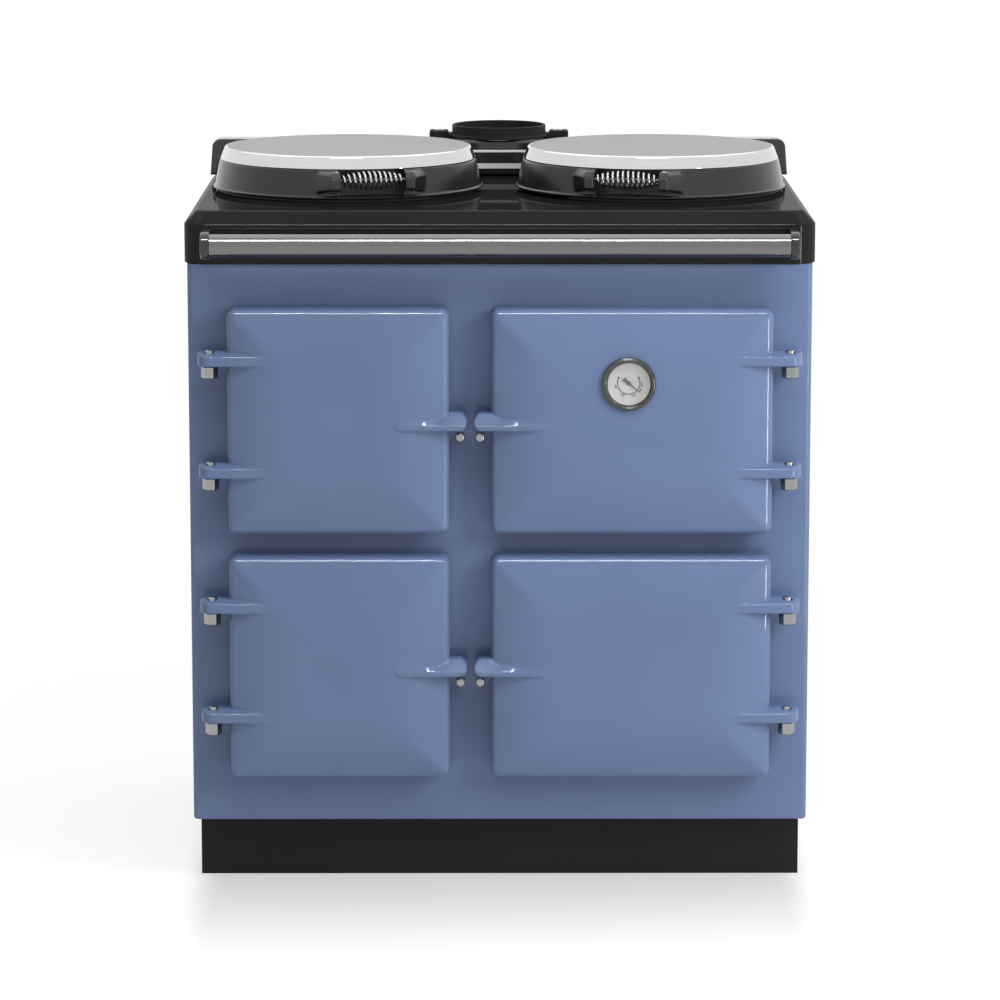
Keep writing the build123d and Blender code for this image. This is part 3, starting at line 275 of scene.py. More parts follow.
def lathe(name, profile, centre, axis="Z", segments=ROUND_SIDES):
    """A turned shape from (radius, height) points; a radius of 0 closes it on the axis."""
    points, rows = [], []
    for radius, height in profile:
        rows.append([])
        for i in range(segments if radius > 0 else 1):
            angle = 2 * math.pi * i / segments
            u, v = radius * math.cos(angle), radius * math.sin(angle)
            spot = {"X": (height, u, v), "Y": (u, -height, v), "Z": (u, v, height)}[axis]
            rows[-1].append(len(points))
            points.append([c + offset for c, offset in zip(centre, spot)])
    faces = []
    for lower, upper in zip(rows, rows[1:]):
        for i in range(segments):
            j = (i + 1) % segments
            ring = [row[k % len(row)] for row, k in ((lower, i), (lower, j), (upper, j), (upper, i))]
            ring = list(dict.fromkeys(ring))
            if len(ring) > 2:
                faces.append(ring)
    mesh = mesh_mm(name, points, faces)
    with editing(mesh) as shape:
        bmesh.ops.recalc_face_normals(shape, faces=shape.faces)
    return mesh


def arc(centre, radius, start, end, steps):
    """Points of an arc in a profile, angles in degrees."""
    angles = np.radians(np.linspace(start, end, steps + 1))
    return [(centre[0] + radius * math.cos(a), centre[1] + radius * math.sin(a)) for a in angles]


# Castings, as a smooth field that is below zero inside the metal


def joined(a, b, fillet):
    """Two bodies in one, with a fillet where they meet."""
    h = np.clip(0.5 + 0.5 * (b - a) / fillet, 0, 1)
    return b + (a - b) * h - fillet * h * (1 - h)


def trimmed(a, b, radius):
    """What two bodies share, with their common edge rounded."""
    inner = np.minimum(np.maximum(a, b), -radius)
    return inner + np.hypot(np.maximum(a + radius, 0), np.maximum(b + radius, 0))


def ticks(low, high, step, *bands):
    """Grid lines from low to high, closer together inside each (from, to, step) band."""
    lines = [low]
    while lines[-1] < high:
        here = lines[-1]
        best = min([step] + [s for a, b, s in bands if a - s <= here <= b])
        starts = [a for a, b, s in bands if here < a < here + best]
        lines.append(min(starts + [here + best]))
    return np.array(lines)


def slices(first, u, second, v):
    """An index into a grid that takes one part along the axes u and v, and all of the third."""
    part = [slice(None)] * 3
    part[u], part[v] = first, second
    return tuple(part)


def cast_mesh(name, field, axes, polar=False):
    """The skin of a casting: one vertex in each grid cell that it crosses, moved on to the field's zero level.

    A polar grid has its axes as radius, angle and height, and its angles go once round.
    """
    first, second, third = axes
    if polar:
        second = np.concatenate([[second[-1] - 2 * math.pi], second, [second[0] + 2 * math.pi]])
    grid = np.stack(np.meshgrid(first, second, third, indexing="ij"), -1)
    if polar:
        radius, angle = grid[..., 0].copy(), grid[..., 1].copy()
        grid[..., 0], grid[..., 1] = radius * np.cos(angle), radius * np.sin(angle)
    value = field(grid[..., 0], grid[..., 1], grid[..., 2])
    cells = np.array(value.shape) - 1
    total, count, crossings = np.zeros((*cells, 3)), np.zeros(cells), []
    for axis in range(3):
        u, v = [k for k in range(3) if k != axis]
        near, far = [tuple(span if k == axis else slice(None) for k in range(3))
                     for span in (slice(0, -1), slice(1, None))]
        a, b = value[near], value[far]
        crossed = (a < 0) != (b < 0)
        share = np.where(crossed, a / np.where(crossed, a - b, 1), 0)[..., None]
        spot = grid[near] + share * (grid[far] - grid[near])
        for du, dv in ((0, 0), (0, 1), (1, 0), (1, 1)):
            part = slices(slice(du, du + cells[u]), u, slice(dv, dv + cells[v]), v)
            count += crossed[part]
            total += np.where(crossed[part][..., None], spot[part], 0)
        crossings.append((crossed, a < 0, u, v))
    used = count > 0
    index = np.full(cells, -1)
    index[used] = np.arange(used.sum())
    points = total[used] / count[used][:, None]
    if polar:
        index[:, -1, :] = index[:, 0, :]
    rounds, probe, least_slope = 5, 0.05, 0.2
    for _ in range(rounds):
        here = field(*points.T)
        slope = np.stack([(field(*(points + step).T) - field(*(points - step).T)) / (2 * probe)
                          for step in probe * np.eye(3)], 1)
        points = points - slope * (here / np.maximum((slope ** 2).sum(1), least_slope))[:, None]
    faces = []
    for axis, (crossed, inside, u, v) in enumerate(crossings):
        part = list(slices(slice(1, -1), u, slice(1, -1), v))
        if polar and axis == 1:
            part[1] = slice(0, -1)
        spots = np.argwhere(crossed[tuple(part)])
        outward = inside[tuple(part)][tuple(spots.T)] != (axis == 1)
        spots[:, [u, v]] += 1
        corners = []
        for du, dv in ((1, 1), (0, 1), (0, 0), (1, 0)):
            cell = spots.copy()
            cell[:, u] -= du
            cell[:, v] -= dv
            corners.append(index[tuple(cell.T)])
        quads = np.stack(corners, 1)
        quads[~outward] = quads[~outward][:, ::-1]
        faces.append(quads)
    mesh = mesh_mm(name, points, np.concatenate(faces).tolist())
    with editing(mesh) as shape:
        bmesh.ops.delete(shape, geom=[v for v in shape.verts if not v.link_faces], context="VERTS")
    mesh.shade_smooth()
    return mesh


# Node trees


class Web:
    """Short ways to build a node tree."""

    def __init__(self, tree):
        self.tree = tree

    def feed(self, socket, value):
        """Links an output, or a node's first one, to an input, or sets a plain value there."""
        if isinstance(value, bpy.types.Node):
            value = value.outputs[0]
        if isinstance(value, bpy.types.NodeSocket):
            self.tree.links.new(value, socket)
        else:
            socket.default_value = value

    def add(self, kind, *values, **named):
        """A node with its settings and named inputs, and then its first inputs in order."""
        node = self.tree.nodes.new(kind)
        for key, value in named.items():
            label = key.replace("_", " ")
            if label in node.inputs:
                self.feed(node.inputs[label], value)
            else:
                setattr(node, key, value)
        for socket, value in zip(node.inputs, values):
            self.feed(socket, value)
        return node

    def math(self, operation, a, b=0.0, clamp=False):
        return self.add("ShaderNodeMath", a, b, operation=operation, use_clamp=clamp)

    def spread(self, value, *limits, **settings):
        """A value between the first two limits, spread between the other two."""
        return self.add("ShaderNodeMapRange", value, *limits, **settings)

    def noise(self, place, scale, detail=2.0):
        return self.add("ShaderNodeTexNoise", Vector=place, Scale=scale, Detail=detail)

    def ramp(self, factor, *stops):
        """A value turned into a colour, by (position, colour) stops."""
        node = self.add("ShaderNodeValToRGB", factor)
        elements = node.color_ramp.elements
        while len(elements) < len(stops):
            elements.new(0.5)
        for element, (position, colour) in zip(elements, stops):
            element.position = position
            element.color = (*colour, 1.0)
        return node

    def white_rays(self):
        """1 for the rays that see the white studio: the camera's, and those off metal and through glass."""
        rays = self.add("ShaderNodeLightPath").outputs
        bright = self.math("ADD", rays["Is Camera Ray"], rays["Is Glossy Ray"], True)
        return self.math("ADD", bright, rays["Is Transmission Ray"], True)


class Finish(Web):
    """A material with a Principled shader."""

    def __init__(self, name, **values):
        self.material = bpy.data.materials.new(name)
        self.material.use_nodes = True
        super().__init__(self.material.node_tree)
        self.shader = self.tree.nodes["Principled BSDF"]
        self.place = self.add("ShaderNodeTexCoord").outputs["Object"]
        self.set(**values)

    def set(self, **values):
        for key, value in values.items():
            self.feed(self.shader.inputs[key.replace("_", " ")], value)

    def bump(self, height, strength, depth):
        return self.add("ShaderNodeBump", Height=height, Strength=strength, Distance=depth)

    def surface(self, tone, stops, grain, rough, height, strength, depth):
        """Colour from one pattern, roughness between two limits from another, and relief from a third."""
        self.set(Base_Color=self.ramp(tone, *stops), Roughness=self.spread(grain, 0.0, 1.0, *rough),
                 Normal=self.bump(height, strength, depth))
        return self.material


class Shape(Web):
    """A Geometry Nodes tree that turns into a plain piece."""

    def __init__(self, name):
        super().__init__(bpy.data.node_groups.new(name, "GeometryNodeTree"))
        for way in ("INPUT", "OUTPUT"):
            self.tree.interface.new_socket("Geometry", in_out=way, socket_type="NodeSocketGeometry")
        self.source = self.add("NodeGroupInput")
        self.sink = self.add("NodeGroupOutput")
        self.values = {}

    def input(self, name, value):
        socket = self.tree.interface.new_socket(name, in_out="INPUT", socket_type="NodeSocketFloat")
        self.values[socket.identifier] = value
        return self.source.outputs[name]

    def join(self, *parts):
        whole = self.add("GeometryNodeJoinGeometry")
        for part in parts:
            self.feed(whole.inputs[0], part)
        return whole

    def move(self, geometry, **how):
        return self.add("GeometryNodeTransform", geometry, **how)

    def on_points(self, shape, turn=(0, 0, 0)):
        return self.add("GeometryNodeInstanceOnPoints", self.source, Instance=shape, Rotation=turn)

    def bar(self, sides, radius, low, high, chamfer):
        """A bar along Z with chamfered ends, from three stacked cones."""
        parts, narrow, neck, head = [], 0.86, low + chamfer, high - chamfer
        for start, end, bottom, top in ((low, neck, narrow, 1.0), (neck, head, 1.0, 1.0), (head, high, 1.0, narrow)):
            cone = self.add("GeometryNodeMeshCone", Vertices=sides, Depth=(end - start) * MM,
                            Radius_Top=radius * MM * top, Radius_Bottom=radius * MM * bottom)
            parts.append(self.move(cone, Translation=(0, 0, start * MM)))
        return self.join(*parts)

    def finish(self, geometry, finish):
        realised = self.add("GeometryNodeRealizeInstances", geometry)
        painted = self.add("GeometryNodeSetMaterial", realised, Material=FINISHES[finish])
        self.feed(self.sink.inputs["Geometry"], painted)

    def grow(self, name, points):
        """Runs the tree on some points and returns the result as a plain piece."""
        piece = new_object(name, mesh_mm(name, points))
        modifier = piece.modifiers.new("Shape", "NODES")
        modifier.node_group = self.tree
        for identifier, value in self.values.items():
            modifier[identifier] = value
        return applied(piece)


# Finishes


def shader_group(name, inputs, outputs):
    """A node group that takes a place and some numbers, with the sockets to read from and to write to."""
    web = Web(bpy.data.node_groups.new(name, "ShaderNodeTree"))
    add_socket = web.tree.interface.new_socket
    add_socket("Vector", in_out="INPUT", socket_type="NodeSocketVector")
    for label, value in inputs.items():
        add_socket(label, in_out="INPUT", socket_type="NodeSocketFloat").default_value = value
    for label in outputs:
        add_socket(label, in_out="OUTPUT", socket_type="NodeSocketFloat")
    return web, web.add("NodeGroupInput").outputs, web.add("NodeGroupOutput").inputs


def enamel_flow_group():
    """How fired enamel lies: a soft ripple, pinholes, and a slow change of tone."""
    web, given, result = shader_group("Enamel flow", {"Ripple Scale": 90.0, "Pinholes": 0.2},
                                      ("Height", "Tone", "Fine"))
    place = given["Vector"]
    fine = web.noise(place, 900.0)
    holes = web.math("MULTIPLY", web.spread(fine, 0.70, 0.80), given["Pinholes"])
    ripple = web.noise(place, given["Ripple Scale"], 1.0)
    web.feed(result["Height"], web.math("SUBTRACT", ripple, holes))
    web.feed(result["Tone"], web.noise(place, 4.5, 3.0))
    web.feed(result["Fine"], fine)
    return web.tree


def polish_group():
    """Marks on bright metal: fine lines along one way, and faint smears."""
    web, given, result = shader_group("Polish marks", {"Line Scale": 600.0}, ("Lines", "Smears"))
    web.feed(result["Lines"], web.noise(given["Vector"], given["Line Scale"], 3.0))
    web.feed(result["Smears"], web.noise(given["Vector"], 14.0, 4.0))
    return web.tree


def grey(level):
    return (level, level, level)


def scaled(colour, share):
    return tuple(min(1.0, c * share) for c in colour)


def between(colour, low, high, start=0.3, end=0.7):
    """Ramp stops for a colour that goes from one share of itself to another."""
    return (start, scaled(colour, low)), (end, scaled(colour, high))


def enamel(name, flow, colour, ripple, roughness, spread=0.10, coat=1.0, gloss=0.08, polish=0.04):
    """Glossy fired enamel over iron or sheet."""
    finish = Finish(name, Coat_Weight=coat, Coat_Roughness=polish, Specular_IOR_Level=gloss)
    marks = finish.add("ShaderNodeGroup", node_tree=flow, Vector=finish.place, Ripple_Scale=ripple).outputs
    return finish.surface(marks["Tone"], between(colour, 1 - spread, 1 + spread), marks["Fine"],
                          (roughness - 0.06, roughness + 0.06), marks["Height"], 0.13, 0.0006)


def bright_metal(name, polish, colour, share, roughness, stretch=(1, 1, 1), lines=300.0, depth=0.02):
    """Plated or polished metal with fine marks."""
    finish = Finish(name, Metallic=1.0)
    mapping = finish.add("ShaderNodeMapping", Vector=finish.place, Scale=stretch)
    marks = finish.add("ShaderNodeGroup", node_tree=polish, Vector=mapping,
                       Line_Scale=lines).outputs
    return finish.surface(marks["Smears"], between(scaled(colour, share), 0.96, 1.03, end=0.75), marks["Lines"],
                          (roughness * 0.6, roughness * 1.4), marks["Lines"], depth, 0.0002)


def spun_metal(name, colour, roughness):
    """A spun disc: rings round the middle of each lid."""
    finish = Finish(name, Metallic=1.0)
    across = finish.add("ShaderNodeSeparateXYZ", finish.place).outputs
    folded = finish.add("ShaderNodeCombineXYZ", finish.math("ABSOLUTE", across["X"]), across["Y"])
    right = lid_centre("right")
    away = finish.add("ShaderNodeVectorMath", folded, (abs(right.x) * MM, right.y * MM, 0),
                      operation="DISTANCE")
    rings = finish.add("ShaderNodeTexNoise", noise_dimensions="1D", W=away.outputs["Value"], Scale=900.0,
                       Detail=2.0)
    return finish.surface(finish.noise(finish.place, 9.0), between(colour, 0.97, 1.03), rings,
                          (roughness - 0.05, roughness + 0.05), rings, 0.05, 0.0002)


def speckled(name, ground, fleck, scale, roughness, bump, metallic=0.0, coat=0.0):
    """A grainy surface: flecks of one colour in another, with a little relief."""
    finish = Finish(name, Metallic=metallic, Coat_Weight=coat)
    grain = finish.noise(finish.place, scale, 4.0)
    return finish.surface(grain, ((0.38, ground), (0.62, fleck)), grain, (roughness - 0.08, roughness + 0.08),
                          grain, bump, 0.0006)


def braided(name, colour):
    """Glass rope: crossing strands."""
    finish = Finish(name, Roughness=0.9)
    strands = finish.add("ShaderNodeTexWave", bands_direction="DIAGONAL", Vector=finish.place, Scale=140.0,
                         Distortion=1.5).outputs["Fac"]
    finish.set(Base_Color=finish.ramp(strands, *between(colour, 0.6, 1.3, 0.2, 0.8)),
               Normal=finish.bump(strands, 0.5, 0.001))
    return finish.material


def clear_glass(name):
    finish = Finish(name, Base_Color=(1.0, 1.0, 1.0, 1.0), IOR=1.45, Transmission_Weight=1.0)
    finish.set(Roughness=finish.spread(finish.noise(finish.place, 60.0, 3.0), 0.0, 1.0, 0.0, 0.03))
    return finish.material


class COOKER_OT_finishes(bpy.types.Operator):
    """Make every enamel, metal and other finish"""

    bl_idname = "cooker.finishes"
    bl_label = "Finishes"

    def execute(self, context):
        colours = context.scene.cooker_colours
        flow, polish = enamel_flow_group(), polish_group()
        black, chrome, cap = tuple(colours.black), tuple(colours.chrome), tuple(colours.cap)
        iron, steel, dial = tuple(colours.iron), tuple(colours.steel), tuple(colours.dial)
        enamels = {  # colour, ripple, roughness, change of tone, coat, gloss, coat's roughness
            "blue_enamel": (tuple(colours.blue), 70.0, 0.34, 0.05, 0.45),
            "black_enamel": (black, 95.0, 0.32, 0.15),
            "hob_enamel": (black, 60.0, 0.24, 0.15, 0.25, 0.0),
            "lid_enamel": (black, 95.0, 0.36, 0.15, 0.85, 0.08, 0.20),
            "satin_black": (scaled(black, 1.1), 140.0, 0.55, 0.15, 0.0, 0.16),
        }
        metals = {  # colour, share of it, roughness, stretch of the marks, line scale, relief
            "bright_chrome": (chrome, 1.0, 0.07),
            "spring_chrome": (chrome, 1.0, 0.22),
            # The collars and studs take a darker copy of the chrome: painted shade in place of darker reflections.
            "collar_chrome": (chrome, 0.6, 0.16),
            # The bezel takes a chrome darkened to a fifth: painted shade on plated metal.
            "bezel_chrome": (chrome, 0.2, 0.24),
            # The rail's chrome is darkened to a third: painted shade in place of darker reflections.
            "rail_chrome": (chrome, 0.35, 0.05, (1, 60, 60), 40.0),
            # The cap's side is 2.2 times as bright as its spun top: a painted sheen on the side.
            "polished_cap": (cap, 2.2, 0.06, (1, 1, 30), 60.0),
            "sheet_steel": (steel, 1.0, 0.32, (12, 1, 40), 40.0, 0.05),
            "dark_steel": (steel, 0.25, 0.4, (1, 1, 1), 500.0, 0.04),
            "shelf_wire": (steel, 1.2, 0.22, (1, 1, 1), 500.0, 0.04),
        }
        grains = {  # ground, fleck, scale, roughness, relief, metallic, coat
            "oven_enamel": ((0.018, 0.018, 0.021), (0.06, 0.06, 0.066), 700.0, 0.35, 0.1, 0.0, 0.5),
            "cast_iron": (scaled(iron, 0.7), scaled(iron, 1.5), 420.0, 0.5, 0.25, 0.6),
            "badge_metal": (grey(0.70), grey(0.78), 900.0, 0.35, 0.02),
            "mineral_board": ((0.42, 0.36, 0.22), (0.62, 0.55, 0.40), 260.0, 0.95, 0.6),
            "gauge_dial": (scaled(dial, 0.96), dial, 900.0, 0.4, 0.02),
            "gauge_ink": (grey(0.012), grey(0.02), 900.0, 0.5, 0.05),
            "pointer_grey": (grey(0.07), grey(0.10), 900.0, 0.5, 0.05),
            "knob_plastic": ((0.015, 0.015, 0.016), (0.024, 0.024, 0.025), 1200.0, 0.45, 0.1),
        }
        for name, values in enamels.items():
            FINISHES[name] = enamel(name, flow, *values)
        for name, values in metals.items():
            FINISHES[name] = bright_metal(name, polish, *values)
        for name, values in grains.items():
            FINISHES[name] = speckled(name, *values)
        FINISHES["spun_cap"] = spun_metal("spun_cap", cap, 0.45)
        FINISHES["spun_liner"] = spun_metal("spun_liner", steel, 0.34)
        FINISHES["seal_rope"] = braided("seal_rope", grey(0.10))
        FINISHES["gauge_glass"] = clear_glass("gauge_glass")
        return {"FINISHED"}


# Casing


def smooth_copy(finish, slot, *nodes):
    """CAD nodes' shapes with merged corners, so that their curves shade smoothly."""
    for node in nodes:
        source = frame["nodes"][node]
        mesh = merged_mesh(node + "_smooth", source.data.copy())
        make(node + "_dressed", mesh, source["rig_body"], slot, finish, node, degrees=30)


class COOKER_OT_casing(bpy.types.Operator):
    """Make the front, sides, back and plinth"""

    bl_idname = "cooker.casing"
    bl_label = "Casing"

    def execute(self, context):
        smooth_copy("blue_enamel", "blue_enamel", "front_plate")
        for side in ("side_panel_left", "side_panel_right"):
            mesh = rounded_box(side, *box_mm(side), 0.8, 2)
            make(side + "_dressed", mesh, "cooker", "blue_enamel", "blue_enamel", side)
        dress("satin_black", "plinth")
        dress("sheet_steel", "base_plate", "back_panel")
        dress("mineral_board", "insulation_boards")
        return {"FINISHED"}


# Doors


class Door:
    """Where one door is, read from its CAD nodes."""

    def __init__(self, name):
        self.name = name
        self.low, self.high = low, high = box_mm("door_" + name)
        pad_low, pad_high = box_mm("door_seal_" + name)
        self.side = -1 if name.endswith("left") else 1
        self.back = high.y
        self.x, self.z = (pad_low.x + pad_high.x) / 2, (pad_low.z + pad_high.z) / 2
        self.half_x = (pad_high.x - pad_low.x) / 2 + DOOR_OVERLAP
        self.half_z = (pad_high.z - pad_low.z) / 2 + DOOR_OVERLAP
        joint = next(j for j in frame["joints"] if j["child"] == "door_" + name)
        self.hinge = Vector(joint["pos_m"]) / MM
        self.free_x = self.x - self.side * self.half_x
        self.tip_x, hinge_end = (low.x, high.x) if self.side > 0 else (high.x, low.x)
        self.arm_reach = abs(hinge_end - self.hinge.x)
        self.arm_levels = [self.z + lift for lift in ARM_LIFTS]


def door_field(door, sizes):
    """The casting of one door with its two hinge arms and its catch arm."""
    edge, corner, rim = sizes.door_edge / MM, sizes.door_corner / MM, sizes.door_rim / MM
    hip, blend, crease = sizes.door_hip / MM, sizes.door_blend / MM, sizes.crease / MM
    arm_half, catch_half = sizes.arm_height / MM / 2, sizes.catch_height / MM / 2
    root = abs(door.hinge.x - door.x) - door.half_x + 50
    lean, draft, pin_bore = 0.03, 0.3, 6.1
    catch_root, catch_face, catch_back = 62, 47.6, 15.5

    def slope(inset):
        return rim + (DOOR_CROWN - rim) * (1 - (1 - np.clip(inset / hip, 0, 1)) ** 2.2)

    def hinge_arm(x, y, z, level):
        along = (door.hinge.x - x) * door.side
        forward = y - door.hinge.y + lean * np.maximum(along, 0)
        plan = np.hypot(np.minimum(along, 0), forward) - door.arm_reach
        nose = np.hypot(np.maximum(along - root, 0), z - level) - arm_half
        top = z - level - arm_half + draft * np.maximum(-forward, 0)
        return trimmed(plan, np.maximum(np.maximum(top, level - arm_half - z), nose), 2.2)

    def catch_arm(x, y, z):
        out = (door.free_x - x) * door.side
        level = door.z + 1.0
        reach = abs(door.tip_x - door.free_x)
        depth = door.back - y
        length = np.maximum(np.maximum(out - reach + catch_half, -out - catch_root), 0)
        plan = np.hypot(length, z - level) - catch_half
        face = catch_face + 0.045 * np.maximum(12 - out, 0)
        height = 9.5 + 6 * np.clip((out + 12) / 14, 0, 1)
        rise = np.clip((z - level + 4.5) / height, 0, 1)
        ridge = depth - face * (1 - rise) - (slope(-out) - 1) * rise
        arm = trimmed(plan, trimmed(depth - face, ridge * 0.7, 0.8), 1.8)
        arm = np.maximum(arm, catch_back - depth)
        lug = trimmed(np.maximum(np.abs(out - 9.5) - 10.0, np.abs(z - level + 6.8) - 6.8),
                      np.abs(depth - 24.5) - 9.5, 2.0)
        return joined(arm, lug, 3.5)

    def field(x, y, z):
        depth = door.back - y
        inset_x, inset_z = door.half_x - np.abs(x - door.x), door.half_z - np.abs(z - door.z)
        front = -joined(-(depth - slope(inset_x)), -(depth - slope(inset_z)), crease)
        solid = trimmed(trimmed(-inset_x, -inset_z, corner), front, edge)
        for level in door.arm_levels:
            solid = joined(solid, hinge_arm(x, y, z, level), blend)
        solid = joined(solid, catch_arm(x, y, z), blend)
        solid = trimmed(solid, -depth, 1.2)
        bore = np.hypot(x - door.hinge.x, y - door.hinge.y) - pin_bore
        solid = np.maximum(solid, -bore)
        if door.name == "upper_right":
            low, high = box_mm("gauge_dial")
            away = np.hypot(x - (low.x + high.x) / 2, z - (low.z + high.z) / 2)
            case = away - (high.x - low.x) / 2 - 0.2
            solid = np.maximum(solid, -np.maximum(case, y - high.y))
        return solid

    return field


class COOKER_OT_doors(bpy.types.Operator):
    """Make the four cast doors and finish their linings"""

    bl_idname = "cooker.doors"
    bl_label = "Doors"

    def execute(self, context):
        fine, finer, coarse = 1.6, 1.5, 3.5
        for name in DOORS:
            door = Door(name)
            x0, x1 = door.x - door.half_x, door.x + door.half_x
            z0, z1 = door.z - door.half_z, door.z + door.half_z
            bands_z = [(z0 - 2, z0 + 16, finer), (z1 - 16, z1 + 2, finer), (door.z - 22, door.z + 20, finer)]
            bands_z += [(level - 16, level + 16, finer) for level in door.arm_levels]
            bands_x = [(x0 - 40, x0 + 16, fine), (x1 - 16, x1 + 40, fine)]
            axes = (ticks(door.low.x - 4, door.high.x + 4, coarse, *bands_x),
                    ticks(door.back - DOOR_CROWN - 4, door.back + 3, fine),
                    ticks(z0 - 4, z1 + 4, coarse, *bands_z))
            mesh = cast_mesh("door_" + name, door_field(door, context.scene.cooker_sizes), axes)
            piece = new_object("door_casting_" + name, mesh)
            settle(piece, "door_" + name, "blue_enamel", ["blue_enamel"], "door_" + name)
            dress("sheet_steel", "door_panel_" + name)
            dress("seal_rope", "door_seal_" + name)
        return {"FINISHED"}


# Hinge pins and catch studs, which repeat


class COOKER_OT_hinges(bpy.types.Operator):
    """Make the hinge pins with their six-sided collars, and the catch studs"""

    bl_idname = "cooker.hinges"
    bl_label = "Hinges and catches"

    def execute(self, context):
        doors = [Door(name) for name in DOORS]
        pins = Shape("Hinge pin")
        collar = pins.input("Collar Height", COLLAR_HEIGHT * MM)
        hexagon, pin = pins.bar(6, 11.0, -COLLAR_HEIGHT, 0.0, 1.4), pins.bar(32, 5.9, -2.0, 20.8, 0.8)
        shank = pins.add("GeometryNodeMeshCylinder", Vertices=32, Radius=6.0 * MM, Depth=46.0 * MM)
        drop = pins.add("ShaderNodeCombineXYZ", Y=23.0 * MM, Z=pins.math("MULTIPLY", collar, -0.5))
        laid = pins.move(shank, Translation=drop, Rotation=QUARTER_TURN)
        pins.finish(pins.on_points(pins.join(hexagon, pin, laid)), "collar_chrome")
        places = [(door.hinge.x, door.hinge.y, level - 9.3) for door in doors for level in door.arm_levels]
        piece = even_shading(pins.grow("hinge_pins_turned", places))
        settle(piece, "cooker", "bright_chrome", ["collar_chrome"], "hinge_pins")

        studs = Shape("Catch stud")
        head, shank = studs.bar(6, 6.8, -4.0, 4.0, 1.8), studs.bar(32, 5.0, -46.0, -3.0, 0.5)
        ball = studs.add("GeometryNodeMeshUVSphere", Segments=24, Rings=12, Radius=5.4 * MM)
        dome = studs.move(ball, Translation=(0, 0, 3.5 * MM), Scale=(1, 1, 0.3))
        turned = studs.move(studs.join(head, shank, dome), Rotation=QUARTER_TURN)
        spun = studs.move(turned, Rotation=(0, math.pi / 6, 0))
        studs.finish(studs.on_points(spun), "collar_chrome")
        places = [(door.free_x - door.side * 14.5, door.hinge.y, door.z - 20.0) for door in doors]
        piece = even_shading(studs.grow("catch_studs_turned", places))
        settle(piece, "cooker", "bright_chrome", ["collar_chrome"], "catch_studs")
        return {"FINISHED"}


# Top plate, upstand and flue


def make_top_plate(sizes):
    low, high = box_mm("top_plate")
    shoulder, corner = sizes.shoulder / MM, sizes.top_corner / MM * 1.7

    def ring(inset, z):
        """One level of the outline, from back left round the front to back right."""
        radius = max(corner - inset, 2.0)
        x, y = high.x - inset, low.y + inset
        outline = [(-x, high.y)] + arc((-x + radius, y + radius), radius, 180, 270, 10)
        outline += arc((x - radius, y + radius), radius, 270, 360, 10) + [(x, high.y)]
        return [(u, v, z) for u, v in outline]

    rings = [ring(inset, low.z + lift) for inset, lift in ((5.0, 1.5), (1.2, 0.0), (0.3, 0.6), (0.0, 2.0))]
    roll = ((0.0, 1.10), (0.012, 1.04), (0.05, 0.98), (0.10, 0.92), (0.17, 0.84), (0.40, 0.60), (0.63, 0.36),
            (0.86, 0.12), (0.93, 0.055), (1.0, 0.02), (1.1, 0))
    rings += [ring(shoulder * inset, HOB - shoulder * drop) for inset, drop in roll]
    centres = [lid_centre(name) for name, _ in LIDS]
    holes = [[(centre.x + u, centre.y + v, HOB) for u, v in arc((0, 0), SEAT_RADIUS, 0, 360, ROUND_SIDES)[:-1]]
             for centre in centres]
    mesh = bpy.data.meshes.new("top_plate_skin")
    with editing(mesh) as shape:
        rows = [[shape.verts.new(Vector(p) * MM) for p in loop] for loop in rings + holes]
        skirt, loops = rows[:len(rings)], rows[len(rings) - 1:]
        for lower, upper in zip(skirt, skirt[1:]):
            for i in range(len(lower) - 1):
                shape.faces.new((lower[i], lower[i + 1], upper[i + 1], upper[i]))
        edges = []
        for loop in loops:
            for pair in zip(loop, loop[1:] + loop[:1]):
                edges.append(shape.edges.get(pair) or shape.edges.new(pair))
        bmesh.ops.triangle_fill(shape, use_beauty=True, use_dissolve=False, edges=edges, normal=(0, 0, 1))
        shape.faces.new([row[0] for row in skirt[1:]] + [row[-1] for row in skirt[:0:-1]])
        bmesh.ops.recalc_face_normals(shape, faces=shape.faces)
    seat = [(150.5, 888.0), (150.5, 898.0), (169.0, 898.0), (169.0, 903.9), (169.8, 904.7), (176.4, 904.7),
            (177.6, 904.3), (SEAT_RADIUS, 903.5), (178.2, 900.9), (180.5, HOB), (180.5, 896.0)]
    seats = [lathe("seat", seat, (centre.x, centre.y, 0)) for centre in centres]
    mesh = merged_mesh("top_plate_skin", mesh, *seats)
    make("top_plate_enamelled", mesh, "cooker", "black_enamel", "hob_enamel", "top_plate", degrees=40)


def make_upstand():
    low, high = box_mm("rear_upstand")
    foot, radius, inner = 896.0, 12.0, box_mm("flue_box")[1].x
    parts = []
    for side in (-1, 1):
        crest = side * (high.x - 3.2)
        corner = arc((crest - side * radius, high.z - radius), radius, 0, 90, 8)
        if side < 0:
            corner = [(2 * (crest + radius) - u, v) for u, v in corner]
        outline = [(inner * side, foot), (side * (high.x - 0.2), foot)] + corner + [(inner * side, high.z)]
        parts.append(bevelled_plate("upstand", outline, low.y + 0.3, high.y - 0.3, 2.5))
    mesh = merged_mesh("rear_upstand", *parts)
    make("rear_upstand_enamelled", mesh, "cooker", "black_enamel", "black_enamel", "rear_upstand")


